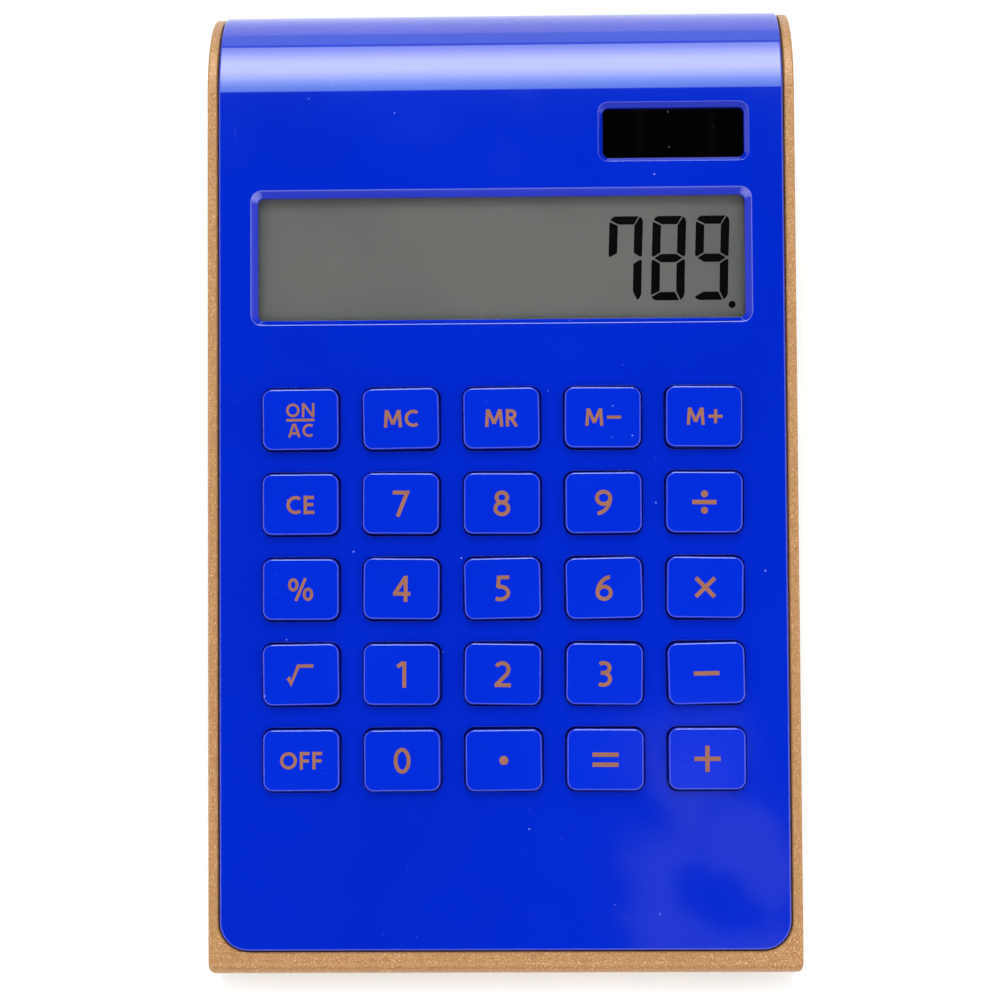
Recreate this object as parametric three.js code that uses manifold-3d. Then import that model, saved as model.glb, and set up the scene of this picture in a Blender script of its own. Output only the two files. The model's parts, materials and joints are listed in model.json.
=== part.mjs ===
// Slim desk calculator: a thin tilted slab whose rear rolls over and comes down as a standing leg.
// Millimetres. The world frame has +Z up, the front edge toward -Y and the rear roll toward +Y.
// The slab is modelled in the panel frame (x across, y back from the front edge, z out of the panel,
// z = 0 on the rim's top face), and one group tilts that frame up from the desk.
import * as THREE from 'three';
import { mergeVertices } from 'three/addons/utils/BufferGeometryUtils.js';
import Module from 'manifold-3d';

const wasm = await Module();
wasm.setup();

// ---- Driving dimensions: the whole slab ----
const TILT = THREE.MathUtils.degToRad(6.2); // rise of the panel above the desk
const ROLL_RADIUS = 17; // outside radius of the rear roll
const SIDE_MARGIN = 9; // case beyond the wider of the display and the keypad, each side
const FRONT_LIFT = 1.2; // underside above the desk, at the front edge
const LEG_LIFT = 1.2; // sole of the leg above the desk

// ---- Walls and fits ----
const RIM_WALL = 1.8; // side rim, measured across
const FRONT_WALL = 4; // front rim, measured along the panel
const SEAT_WIDTH = 1.2; // step inside the rims that carries the cover
const FLOOR = 1.5; // case floor and the leg's front wall
const INNER_WALL = 1.2; // walls round the battery and the tubes of the screw bosses
const COVER_THICK = 1.8;
const COVER_PROUD = 0.35; // cover above the rims
const COVER_CORNER = 5; // front corners of the cover, in plan
const COVER_END = 3.4; // lower edge of the cover behind, above the desk
const LIP_WALL = 2; // case wall below that edge
const CASE_CORNER = 1; // front corners of the case, in plan
const NOSE_TOP = 2.3; // rounding of the front edge, above and below
const NOSE_BELOW = 2.5;
const GAP = 0.3; // clearance between pieces that sit on or in each other
const UNDER_BOARD = 1.3; // room for solder and the chip under the board
const SPARE = 0.2; // room beyond a clearance, between pieces that only pass each other

// ---- Keys ----
const KEY_SIZE_X = 13.5;
const KEY_SIZE_Y = 10.8;
const KEY_SPACE_X = 4.37; // cover between two neighbouring keycaps
const KEY_SPACE_Y = 4.28;
const FRONT_TO_KEYS = 32.44; // front edge to the nearest keycaps
const KEY_CORNER = 1.7;
const KEY_PROUD = 1.6; // key top above the cover
const KEY_EDGE = 0.4; // chamfer round the key top
const KEY_TRAVEL = 1.2;
const KEY_FLANGE = 0.9; // how far the flange reaches past the cap, all round
const KEY_FLANGE_THICK = 0.8;
const KEY_NAMES = [
  ['on_ac', 'mc', 'mr', 'm_minus', 'm_plus'],
  ['ce', '7', '8', '9', 'divide'],
  ['percent', '4', '5', '6', 'multiply'],
  ['root', '1', '2', '3', 'minus'],
  ['off', '0', 'point', 'equals', 'plus'],
];

// ---- Windows in the cover ----
const LCD_SIZE_X = 87;
const LCD_SIZE_Y = 22;
const KEYS_TO_LCD = 12.44;
const SOLAR_SIZE_X = 25.2;
const SOLAR_SIZE_Y = 9;
const LCD_TO_SOLAR = 6.7;
const SOLAR_TO_ROLL = 3.3;
const WINDOW_BEVEL = 1.2; // width and depth of the sloping surround
const WINDOW_BEVEL_DEPTH = 0.8;
const WINDOW_CORNER = 1.1;
const LENS_LAP = 1.9; // how far a lens reaches past its opening

// ---- Inner layers, by thickness ----
const LENS_THICK = 0.7;
const GLASS_THICK = 1.4;
const REFLECTOR_THICK = 0.25;
const HOLDER_FLOOR = 0.4;
const HOLDER_WALL = 0.8;
const CELL_GLASS_THICK = 1.1;
const BOARD_THICK = 1;
const MAT_THICK = 0.6;
const MAT_MARGIN = 0.8; // mat beyond the outermost key flanges
const DOME_RADIUS = 3.4;
const DOME_WALL = 0.6;
const DOME_SOLID = 1.05; // dome height that is left when its key is down

// ---- Fasteners ----
const SCREW_RADIUS = 1;
const SCREW_HEAD_RADIUS = 2;
const SCREW_HEAD_HEIGHT = 1.2;
const POST_WALL = 1.9;
const POST_SHOULDER = 2; // plastic between a case screw's head and the top of its post
const BOSS_LENGTH = 2.85; // the cover's screw bosses
const FRONT_TO_SCREWS = 14;
const BOARD_SCREW_RADIUS = 0.8;
const BOARD_SCREW_HEAD = 1.6;
const BOARD_SCREW_HEAD_HEIGHT = 0.9;
const STANDOFF_RADIUS = 2.2;

// ---- Battery: one LR1130 button cell ----
const CELL_RADIUS = 5.8;
const CELL_HEIGHT = 3.1;
const BAY_X = -24;
const DOOR_THICK = 1.6;
const DOOR_LAP = 2; // door beyond the cell, front and rear
const DOOR_SCREW_SIDE = 10.4; // door beyond the cell's diameter, across
const CONTACT_THICK = 0.3;
const CONTACT_WIDTH = 3;
const WIRE_RADIUS = 0.4;

// ---- Capacitor ----
const CAPACITOR_RADIUS = 2;
const CAPACITOR_LENGTH = 6;

// ---- Feet ----
const FRONT_FOOT_RADIUS = 4.5;
const REAR_FOOT_RADIUS = 3.4;
const FRONT_FEET_X = 36;
const REAR_FEET_X = 40;
const FRONT_FOOT_Y = 9; // centre, from the front edge

// ---- Levels worked out from the above, in the panel frame ----
const coverTop = COVER_PROUD;
const coverUnder = coverTop - COVER_THICK;
const flangeTop = coverUnder - GAP;
const flangeUnder = flangeTop - KEY_FLANGE_THICK;
const keyTop = coverTop + KEY_PROUD;
const domeTop = flangeUnder - GAP;
const lensTop = coverUnder - GAP;
const lensUnder = lensTop - LENS_THICK;
const glassTop = lensUnder - GAP;
const glassUnder = glassTop - GLASS_THICK;
const reflectorTop = glassUnder - GAP;
const reflectorUnder = reflectorTop - REFLECTOR_THICK;
const holderFloorTop = reflectorUnder - GAP;
const holderUnder = holderFloorTop - HOLDER_FLOOR;
const matUnder = Math.min(flangeUnder - KEY_TRAVEL - DOME_SOLID - MAT_THICK, holderUnder);
const matTop = matUnder + MAT_THICK;
const boardTop = matUnder - GAP;
const boardUnder = boardTop - BOARD_THICK;
const postTop = coverUnder - BOSS_LENGTH - GAP;
const bayRoofThick = 1;
const tabRise = 0.6; // contact tabs above the bay's roof
const batteryStack = DOOR_THICK + GAP + CELL_HEIGHT + 2 * GAP + CONTACT_THICK + bayRoofThick + tabRise;
const keyStack = UNDER_BOARD - boardUnder + FLOOR;
const slab = Math.max(keyStack, batteryStack - coverUnder + GAP + SPARE); // also the roll's and the leg's
const underside = -slab;
const floorTop = underside + FLOOR;
const cellBottom = underside + DOOR_THICK + GAP;
const cellTop = cellBottom + CELL_HEIGHT;
const bayRoof = cellTop + 2 * GAP + CONTACT_THICK;
const bayTop = bayRoof + bayRoofThick;
const tabTop = bayTop + tabRise;

// ---- Places along and across the panel, worked out from the above ----
const keyRows = KEY_NAMES.length;
const keyColumns = KEY_NAMES[0].length;
const keyPitchX = KEY_SIZE_X + KEY_SPACE_X;
const keyPitchY = KEY_SIZE_Y + KEY_SPACE_Y;
const keysCentreY = FRONT_TO_KEYS + (KEY_SIZE_Y + (keyRows - 1) * keyPitchY) / 2;
const apertureX = KEY_SIZE_X + 2 * GAP;
const apertureY = KEY_SIZE_Y + 2 * GAP;
const flangeX = KEY_SIZE_X + 2 * KEY_FLANGE;
const flangeY = KEY_SIZE_Y + 2 * KEY_FLANGE;
const keysHalfX = ((keyColumns - 1) * keyPitchX + flangeX) / 2;
const keysHalfY = ((keyRows - 1) * keyPitchY + flangeY) / 2;
const keysTopY = keysCentreY + keysHalfY;
const keysBottomY = keysCentreY - keysHalfY;
const lcdCentreY = keysTopY - KEY_FLANGE + KEYS_TO_LCD + LCD_SIZE_Y / 2;
const solarCentreX = (LCD_SIZE_X - SOLAR_SIZE_X) / 2;
const solarCentreY = lcdCentreY + LCD_SIZE_Y / 2 + LCD_TO_SOLAR + SOLAR_SIZE_Y / 2;
const matHalfX = keysHalfX + MAT_MARGIN;
const lensHalfX = LCD_SIZE_X / 2 + LENS_LAP;
const lensFrontY = lcdCentreY - LCD_SIZE_Y / 2 - LENS_LAP;
const lensRearY = lcdCentreY + LCD_SIZE_Y / 2 + LENS_LAP;
const holderHalfX = lensHalfX + GAP + HOLDER_WALL;
const holderRearY = lensRearY + GAP + HOLDER_WALL;
const bayRadius = CELL_RADIUS + GAP + INNER_WALL;
const bayY = holderRearY + SPARE + bayRadius;
const doorSizeX = 2 * CELL_RADIUS + DOOR_SCREW_SIDE;
const doorSizeY = 2 * (CELL_RADIUS + DOOR_LAP);
const doorX = BAY_X + 2; // the door reaches further on the side of its screw
const doorScrewX = doorX + doorSizeX / 2 - 3;
const deck = Math.max(
  solarCentreY + SOLAR_SIZE_Y / 2 + SOLAR_TO_ROLL,
  bayY + doorSizeY / 2 + GAP + 2 * SPARE,
); // flat length, front edge to the start of the rear roll
const width = 2 * (Math.max(keysHalfX, LCD_SIZE_X / 2) + SIDE_MARGIN);
const coverHalf = width / 2 - RIM_WALL - GAP;
const coverFront = FRONT_WALL + GAP;
const cavityHalf = coverHalf - SEAT_WIDTH;
const cavityFront = coverFront + SEAT_WIDTH;
const boardHalfX = cavityHalf - GAP - 0.5;
const boardFrontY = keysBottomY - 4;
const boardRearY = lcdCentreY + 7;
const postRadius = SCREW_RADIUS + GAP + POST_WALL;
const boltY = (keysTopY + lensFrontY) / 2; // the middle screw stands between the keys and the display
const sideScrewX = cavityHalf - postRadius - 1;
const solarRibLeft = solarCentreX - SOLAR_SIZE_X / 2 - LENS_LAP - GAP - HOLDER_WALL;
const rearScrewX = solarRibLeft - postRadius - 2;
const screwPlaces = [
  [-sideScrewX, FRONT_TO_SCREWS],
  [sideScrewX, FRONT_TO_SCREWS],
  [0, boltY],
  [-sideScrewX, solarCentreY],
  [rearScrewX, solarCentreY],
];
const boardScrewX = matHalfX + BOARD_SCREW_HEAD + 2 * SPARE;
const boardScrewPlaces = [
  [-boardScrewX, keysBottomY + 1],
  [boardScrewX, keysBottomY + 1],
  [-boardScrewX, keysTopY - 1],
  [boardScrewX, keysTopY - 1],
];

// ---- The panel frame's place in the world ----
const panelLift = FRONT_LIFT + slab * Math.cos(TILT);
const rollCentreHeight = panelLift + deck * Math.sin(TILT) - ROLL_RADIUS * Math.cos(TILT);
const rollCentreBack = deck * Math.cos(TILT) + ROLL_RADIUS * Math.sin(TILT);
const frontmost = NOSE_TOP * (Math.cos(TILT) + Math.sin(TILT) - 1);
const rearmost = rollCentreBack + ROLL_RADIUS + COVER_PROUD;
const panelShift = -(frontmost + rearmost) / 2;

// ---- Materials ----
function finish(color, roughness, metalness = 0) {
  return { color, roughness, metalness };
}

const FINISH = {
  cover: finish(0x0434d8, 0.12),
  key: finish(0x0a3ae0, 0.2),
  gold: finish(0xc8965f, 0.45, 0.6),
  clear: finish(0xdfe6ea, 0.05),
  glass: finish(0x6d6e6d, 0.3),
  reflector: finish(0xb9bdb8, 0.4, 0.3),
  whitePlastic: finish(0xe6e4de, 0.5),
  ribbon: finish(0x8a5a2a, 0.5),
  dark: finish(0x08080a, 0.1),
  silicon: finish(0x1a1420, 0.25),
  silicone: finish(0xc9ccd2, 0.7),
  board: finish(0x1d5a32, 0.45),
  resin: finish(0x0c0c0c, 0.35),
  sleeve: finish(0x1e2a60, 0.4),
  steel: finish(0xb8bcc0, 0.3, 1),
  nickel: finish(0xcfcfc8, 0.35, 1),
  rubber: finish(0x202022, 0.9),
  red: finish(0xa01818, 0.5),
  black: finish(0x141414, 0.5),
};

// ---- Geometry helpers ----
function toSolid(geometry) {
  const bare = geometry.clone();
  bare.deleteAttribute('normal');
  bare.deleteAttribute('uv');
  const merged = mergeVertices(bare, 1e-4);
  return new wasm.Manifold(new wasm.Mesh({
    numProp: 3,
    vertProperties: new Float32Array(merged.attributes.position.array),
    triVerts: new Uint32Array(merged.index.array),
  }));
}

function toGeometry(solid) {
  const mesh = solid.getMesh();
  const geometry = new THREE.BufferGeometry();
  geometry.setAttribute('position', new THREE.BufferAttribute(mesh.vertProperties, 3));
  geometry.setIndex(new THREE.BufferAttribute(mesh.triVerts, 1));
  geometry.computeVertexNormals();
  return geometry;
}

function addAll(solid, others) {
  return others.reduce((sum, other) => sum.add(other), solid);
}

function subtractAll(solid, others) {
  return others.reduce((rest, other) => rest.subtract(other), solid);
}

function box(x0, x1, y0, y1, z0, z1) {
  const geometry = new THREE.BoxGeometry(x1 - x0, y1 - y0, z1 - z0);
  return toSolid(geometry.translate((x0 + x1) / 2, (y0 + y1) / 2, (z0 + z1) / 2));
}

function post(x, y, radius, z0, z1, sides = 12) {
  const geometry = new THREE.CylinderGeometry(radius, radius, z1 - z0, sides);
  geometry.rotateX(Math.PI / 2);
  return toSolid(geometry.translate(x, y, (z0 + z1) / 2));
}

function roundedRectangle(width, height, radius, cx = 0, cy = 0) {
  const x = width / 2 - radius;
  const y = height / 2 - radius;
  const quarter = Math.PI / 2;
  const shape = new THREE.Shape();
  shape.absarc(cx + x, cy + y, radius, 0, quarter);
  shape.absarc(cx - x, cy + y, radius, quarter, 2 * quarter);
  shape.absarc(cx - x, cy - y, radius, 2 * quarter, 3 * quarter);
  shape.absarc(cx + x, cy - y, radius, 3 * quarter, 4 * quarter);
  return shape;
}

// Each corner arc of the shape gets twice curveSegments edges.
function plate(shape, z0, z1, curveSegments = 1) {
  const options = { depth: z1 - z0, bevelEnabled: false, curveSegments };
  return toSolid(new THREE.ExtrudeGeometry(shape, options).translate(0, 0, z0));
}

// A side outline in (y, z), extruded across the slab between two x values.
function across(points, x0, x1) {
  const options = { depth: x1 - x0, bevelEnabled: false };
  const geometry = new THREE.ExtrudeGeometry(new THREE.Shape(points), options);
  geometry.translate(0, 0, x0);
  const axes = new THREE.Matrix4().makeBasis(
    new THREE.Vector3(0, 1, 0),
    new THREE.Vector3(0, 0, 1),
    new THREE.Vector3(1, 0, 0),
  );
  return toSolid(geometry.applyMatrix4(axes));
}

// A closed stack of rounded rectangles, each { x, y, corner, z }, joined ring to ring.
function loft(rings, cx = 0, cy = 0, cornerSteps = 2) {
  const count = 4 * (cornerSteps + 1);
  const positions = [];
  for (const ring of rings) {
    for (let i = 0; i < count; i += 1) {
      const corner = Math.floor(i / (cornerSteps + 1));
      const step = i % (cornerSteps + 1);
      const angle = (corner + step / cornerSteps) * Math.PI / 2;
      const sideX = corner === 0 || corner === 3 ? 1 : -1;
      const sideY = corner < 2 ? 1 : -1;
      positions.push(
        cx + sideX * (ring.x / 2 - ring.corner) + ring.corner * Math.cos(angle),
        cy + sideY * (ring.y / 2 - ring.corner) + ring.corner * Math.sin(angle),
        ring.z,
      );
    }
  }
  const index = [];
  for (let r = 0; r + 1 < rings.length; r += 1) {
    for (let i = 0; i < count; i += 1) {
      const a = r * count + i;
      const b = r * count + (i + 1) % count;
      index.push(a, b, b + count, a, b + count, a + count);
    }
  }
  const last = (rings.length - 1) * count;
  for (let i = 1; i + 1 < count; i += 1) {
    index.push(0, i + 1, i, last, last + i, last + i + 1);
  }
  const geometry = new THREE.BufferGeometry();
  geometry.setAttribute('position', new THREE.Float32BufferAttribute(positions, 3));
  geometry.setIndex(index);
  return toSolid(geometry);
}

// A line that keeps one depth under the outer surface: back along the panel, round the roll and
// straight down the leg to a height above the desk.
function rollLine(depth, startY, endHeight, steps = 12) {
  const radius = ROLL_RADIUS - depth;
  const turn = Math.PI / 2 + TILT;
  const points = [new THREE.Vector2(startY, -depth)];
  for (let i = 0; i <= steps; i += 1) {
    const angle = turn * i / steps;
    points.push(new THREE.Vector2(
      deck + radius * Math.sin(angle),
      -ROLL_RADIUS + radius * Math.cos(angle),
    ));
  }
  const down = rollCentreHeight - endHeight;
  const foot = points[points.length - 1].clone();
  points.push(foot.add(new THREE.Vector2(-Math.sin(TILT), -Math.cos(TILT)).multiplyScalar(down)));
  return points;
}

function rollBand(outerDepth, innerDepth, startY, endHeight) {
  const outer = rollLine(outerDepth, startY, endHeight);
  const inner = rollLine(innerDepth, startY, endHeight).reverse();
  return [...outer, ...inner];
}

// A plan outline with a straight rear, past the roll, and rounded front corners.
function planPrism(half, front, corner) {
  const rear = deck + 2 * ROLL_RADIUS;
  const shape = new THREE.Shape();
  shape.moveTo(half, rear);
  shape.lineTo(-half, rear);
  shape.absarc(-half + corner, front + corner, corner, Math.PI, 1.5 * Math.PI);
  shape.absarc(half - corner, front + corner, corner, 1.5 * Math.PI, 2 * Math.PI);
  const reach = 3 * ROLL_RADIUS;
  return plate(shape, -reach, reach, 4);
}

function tube(points, radius, steps) {
  const circle = new THREE.Shape();
  circle.absarc(0, 0, radius, 0, 2 * Math.PI);
  const path = new THREE.CatmullRomCurve3(points.map((p) => new THREE.Vector3(...p)));
  const options = { steps, bevelEnabled: false, extrudePath: path, curveSegments: 4 };
  return toSolid(new THREE.ExtrudeGeometry(circle, options));
}

// ---- Keys ----
function keyPlace(row, column) {
  return [
    (column - (keyColumns - 1) / 2) * keyPitchX,
    keysCentreY + ((keyRows - 1) / 2 - row) * keyPitchY,
  ];
}

function eachKey(make) {
  return KEY_NAMES.flatMap((names, row) => names.map((name, column) => make(...keyPlace(row, column))));
}

function keycap() {
  const inset = 2 * KEY_EDGE;
  return loft([
    { x: flangeX, y: flangeY, corner: KEY_CORNER, z: flangeUnder },
    { x: flangeX, y: flangeY, corner: KEY_CORNER, z: flangeTop },
    { x: KEY_SIZE_X, y: KEY_SIZE_Y, corner: KEY_CORNER, z: flangeTop },
    { x: KEY_SIZE_X, y: KEY_SIZE_Y, corner: KEY_CORNER, z: keyTop - KEY_EDGE },
    { x: KEY_SIZE_X - inset, y: KEY_SIZE_Y - inset, corner: KEY_CORNER - KEY_EDGE, z: keyTop },
  ]);
}

// ---- Cover ----
function windowCut(sizeX, sizeY, cx, cy) {
  const wide = 2 * WINDOW_BEVEL;
  const slope = WINDOW_BEVEL / WINDOW_BEVEL_DEPTH;
  const over = 0.5;
  const opening = { x: sizeX, y: sizeY, corner: WINDOW_CORNER };
  const surround = { x: sizeX + wide, y: sizeY + wide, corner: WINDOW_CORNER + WINDOW_BEVEL };
  const above = { x: surround.x + 2 * slope * over, y: surround.y + 2 * slope * over };
  return loft([
    { ...opening, z: coverUnder - over },
    { ...opening, z: coverTop - WINDOW_BEVEL_DEPTH },
    { ...surround, z: coverTop },
    { ...above, corner: surround.corner + slope * over, z: coverTop + over },
  ], cx, cy);
}

function lensRib() {
  const outer = 2 * (LENS_LAP + GAP + HOLDER_WALL);
  const inner = 2 * (LENS_LAP + GAP);
  const depth = coverUnder - GAP - LENS_THICK - GAP - CELL_GLASS_THICK;
  const x = solarCentreX;
  const y = solarCentreY;
  const wall = roundedRectangle(SOLAR_SIZE_X + outer, SOLAR_SIZE_Y + outer, 1, x, y);
  const space = roundedRectangle(SOLAR_SIZE_X + inner, SOLAR_SIZE_Y + inner, 0.5, x, y);
  return plate(wall, depth, coverUnder + 0.2).subtract(plate(space, depth - 1, coverUnder));
}

function topCover() {
  const plan = planPrism(coverHalf, coverFront, COVER_CORNER);
  const band = rollBand(-COVER_PROUD, COVER_THICK - COVER_PROUD, 0, COVER_END);
  const shell = across(band, -coverHalf - 1, coverHalf + 1).intersect(plan);
  const bossLow = postTop + GAP;
  const boreRadius = SCREW_RADIUS + GAP;
  const bosses = screwPlaces.map(([x, y]) => post(x, y, boreRadius + INNER_WALL, bossLow, coverUnder + 0.2));
  const bores = screwPlaces.map(([x, y]) => post(x, y, boreRadius, bossLow - 1, coverUnder - 0.6));
  const aperture = (x, y) => plate(
    roundedRectangle(apertureX, apertureY, KEY_CORNER + GAP, x, y),
    coverUnder - 1,
    coverTop + 1,
  );
  return subtractAll(addAll(shell, [...bosses, lensRib()]), [
    ...bores,
    ...eachKey(aperture),
    windowCut(LCD_SIZE_X, LCD_SIZE_Y, 0, lcdCentreY),
    windowCut(SOLAR_SIZE_X, SOLAR_SIZE_Y, solarCentreX, solarCentreY),
  ]);
}

// ---- Case ----
function caseOutline() {
  const nose = [];
  const steps = 5;
  for (let i = 0; i <= steps; i += 1) {
    const angle = Math.PI + Math.PI / 2 * (1 - i / steps);
    nose.push(new THREE.Vector2(
      NOSE_BELOW + NOSE_BELOW * Math.cos(angle),
      underside + NOSE_BELOW + NOSE_BELOW * Math.sin(angle),
    ));
  }
  for (let i = 0; i <= steps; i += 1) {
    const angle = Math.PI - Math.PI / 2 * i / steps;
    nose.push(new THREE.Vector2(
      NOSE_TOP + NOSE_TOP * Math.cos(angle),
      -NOSE_TOP + NOSE_TOP * Math.sin(angle),
    ));
  }
  const top = rollLine(0, NOSE_TOP, LEG_LIFT).slice(1);
  const below = rollLine(slab, NOSE_BELOW, LEG_LIFT).reverse().slice(0, -1);
  return [...nose, ...top, ...below];
}

function coverRecess() {
  const band = rollBand(-2, COVER_THICK - COVER_PROUD + GAP, 0, COVER_END - GAP);
  const half = coverHalf + GAP;
  const plan = planPrism(half, FRONT_WALL, COVER_CORNER + GAP);
  return across(band, -half - 1, half + 1).intersect(plan);
}

// Under the cover the cavity opens into the recess. Lower in the leg it stops short of the outside, which
// leaves the lip that closes the cover's rear edge.
function deepCavity() {
  const inside = (band) => across(band, -cavityHalf - 1, cavityHalf + 1);
  const open = inside(rollBand(COVER_THICK - COVER_PROUD - 0.2, slab - FLOOR, 0, COVER_END));
  const low = inside(rollBand(LIP_WALL, slab - FLOOR, deck, LEG_LIFT + FLOOR));
  return open.add(low).intersect(planPrism(cavityHalf, cavityFront, COVER_CORNER - SEAT_WIDTH));
}

function screwPost(x, y) {
  return post(x, y, postRadius, floorTop - 0.5, postTop);
}

function screwBore(x, y) {
  const shoulder = postTop - POST_SHOULDER;
  const bore = post(x, y, SCREW_RADIUS + GAP, underside - 1, postTop + 1);
  return bore.add(post(x, y, SCREW_HEAD_RADIUS + GAP, underside - 1, shoulder));
}

function batteryBay() {
  const half = doorSizeX / 2 + GAP + INNER_WALL;
  const halfY = doorSizeY / 2 + GAP + INNER_WALL;
  const ledgeTop = cellBottom + INNER_WALL + SPARE;
  return addAll(box(doorX - half, doorX + half, bayY - halfY, bayY + halfY, floorTop - 0.6, ledgeTop), [
    post(BAY_X, bayY, bayRadius, floorTop - 0.6, bayTop, 20),
    post(doorScrewX, bayY, BOARD_SCREW_RADIUS + GAP + INNER_WALL, floorTop - 0.6, ledgeTop + 1.8),
  ]);
}

function batterySpace() {
  const recess = box(
    doorX - doorSizeX / 2 - GAP,
    doorX + doorSizeX / 2 + GAP,
    bayY - doorSizeY / 2 - GAP,
    bayY + doorSizeY / 2 + GAP,
    underside - 1,
    cellBottom,
  );
  const pocket = post(BAY_X, bayY, CELL_RADIUS + GAP, underside - 1, bayRoof, 20);
  const right = BAY_X + CELL_RADIUS;
  const left = BAY_X - CELL_RADIUS;
  const halfSlot = CONTACT_WIDTH / 2 + GAP;
  const niche = box(right, right + 1.2, bayY - halfSlot, bayY + halfSlot, underside, bayTop + 1);
  const slot = box(left - 1.1, left + 0.2, bayY - halfSlot, bayY + halfSlot, cellTop, bayTop + 1);
  const pilot = post(doorScrewX, bayY, BOARD_SCREW_RADIUS + GAP, underside - 1, cellBottom + 2.7);
  return addAll(recess, [pocket, niche, slot, pilot]);
}

function baseCase() {
  const half = width / 2;
  const body = across(caseOutline(), -half, half).intersect(planPrism(half, 0, CASE_CORNER));
  const shell = body.subtract(coverRecess()).subtract(deepCavity());
  const standoffTop = boardUnder - GAP;
  const standoffs = boardScrewPlaces.map(([x, y]) => (
    post(x, y, STANDOFF_RADIUS, floorTop - 0.5, standoffTop)
  ));
  const pilots = boardScrewPlaces.map(([x, y]) => (
    post(x, y, BOARD_SCREW_RADIUS + GAP, floorTop + 0.1, standoffTop + 1)
  ));
  const posts = screwPlaces.map(([x, y]) => screwPost(x, y));
  const bores = screwPlaces.map(([x, y]) => screwBore(x, y));
  const filled = addAll(shell, [...posts, ...standoffs, batteryBay()]);
  return subtractAll(filled, [...bores, ...pilots, batterySpace()]);
}

// ---- Display ----
function lcdLens() {
  return box(-lensHalfX, lensHalfX, lensFrontY, lensRearY, lensUnder, lensTop);
}

function lcdGlass() {
  const step = 1.2; // the rear glass stands out in front to carry the contacts
  const middle = (glassTop + glassUnder) / 2;
  const front = box(-lensHalfX, lensHalfX, lensFrontY + step, lensRearY, middle - 0.1, glassTop);
  return front.add(box(-lensHalfX, lensHalfX, lensFrontY, lensRearY, glassUnder, middle));
}

function lcdReflector() {
  return box(-lensHalfX, lensHalfX, lensFrontY + 0.6, lensRearY, reflectorUnder, reflectorTop);
}

function lcdHolder() {
  const frontY = lensFrontY + 0.3;
  const inner = lensHalfX + GAP;
  const tray = box(-holderHalfX, holderHalfX, frontY, holderRearY, holderUnder, lensTop);
  return tray.subtract(box(-inner, inner, frontY - 1, lensRearY + GAP, holderFloorTop, lensTop + 1));
}

function lcdRibbon() {
  const thick = 0.15;
  const ledge = (glassTop + glassUnder) / 2 + GAP;
  const frontY = lensFrontY - 0.5;
  const landing = boardTop + GAP;
  const outline = [
    [lensFrontY + 0.8, ledge],
    [lensFrontY + 0.8, ledge + thick],
    [frontY - 0.3, ledge + thick],
    [frontY - thick - 0.3, ledge - 0.1],
    [frontY - thick - 0.3, landing + thick],
    [frontY - 3, landing + thick],
    [frontY - 3, landing],
    [frontY - 0.3, landing],
    [frontY - 0.3, ledge - 0.1],
    [frontY - 0.1, ledge],
  ];
  return across(outline.map(([y, z]) => new THREE.Vector2(y, z)), 6, lensHalfX - 4);
}

// ---- Solar supply ----
function solarPlate(top, thick, lap) {
  const sizeX = SOLAR_SIZE_X + 2 * lap;
  const sizeY = SOLAR_SIZE_Y + 2 * lap;
  return plate(roundedRectangle(sizeX, sizeY, 0.4, solarCentreX, solarCentreY), top - thick, top);
}

const solarCellTop = coverUnder - GAP - LENS_THICK - GAP;
const solarCellUnder = solarCellTop - CELL_GLASS_THICK;

function solarWire(side) {
  const x = solarCentreX + side * 6;
  const lane = boardUnder + BOARD_THICK / 2;
  return tube([
    [x, solarCentreY - 1, solarCellUnder - 0.75],
    [x, solarCentreY - 4, solarCellUnder - 1.1],
    [x, holderRearY, lane],
    [x, boardRearY + 3, lane],
    [x, boardRearY + GAP, lane],
  ], WIRE_RADIUS, 10);
}

// ---- Key mat and board ----
function keyMat() {
  const sheet = box(-matHalfX, matHalfX, keysBottomY - MAT_MARGIN, keysTopY + MAT_MARGIN, matUnder, matTop);
  const cone = (base, tip, z0, z1) => {
    const profile = [[0, z0], [base, z0], [tip, z1], [0, z1]];
    const lathe = new THREE.LatheGeometry(profile.map(([r, z]) => new THREE.Vector2(r, z)), 10);
    return toSolid(lathe.rotateX(Math.PI / 2));
  };
  const innerRadius = DOME_RADIUS - DOME_WALL;
  const dome = cone(DOME_RADIUS, DOME_RADIUS - 1, matTop - 0.1, domeTop);
  const inside = cone(innerRadius, innerRadius - 1, matUnder - 0.1, domeTop - DOME_WALL);
  const domes = eachKey((x, y) => dome.translate([x, y, 0]));
  const insides = eachKey((x, y) => inside.translate([x, y, 0]));
  return subtractAll(addAll(sheet, domes), insides);
}

function mainBoard() {
  const sizeY = boardRearY - boardFrontY;
  const outline = roundedRectangle(2 * boardHalfX, sizeY, 1, 0, (boardRearY + boardFrontY) / 2);
  const board = plate(outline, boardUnder, boardTop);
  const holes = boardScrewPlaces.map(([x, y]) => (
    post(x, y, BOARD_SCREW_RADIUS + GAP, boardUnder - 1, boardTop + 1)
  ));
  const clearance = SCREW_RADIUS + GAP + POST_WALL + 0.5;
  holes.push(post(0, boltY, clearance, boardUnder - 1, boardTop + 1));
  return subtractAll(board, holes);
}

function chipCover() {
  const top = boardUnder - GAP;
  const rise = top - floorTop - 0.2;
  const profile = [[0, top], [5, top], [4.6, top - rise * 0.55], [3.2, top - rise * 0.9], [0, top - rise]];
  const points = profile.reverse().map(([r, z]) => new THREE.Vector2(r, z));
  const dome = toSolid(new THREE.LatheGeometry(points, 14).rotateX(Math.PI / 2));
  return dome.translate([-18, lcdCentreY - 8, 0]);
}

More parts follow.
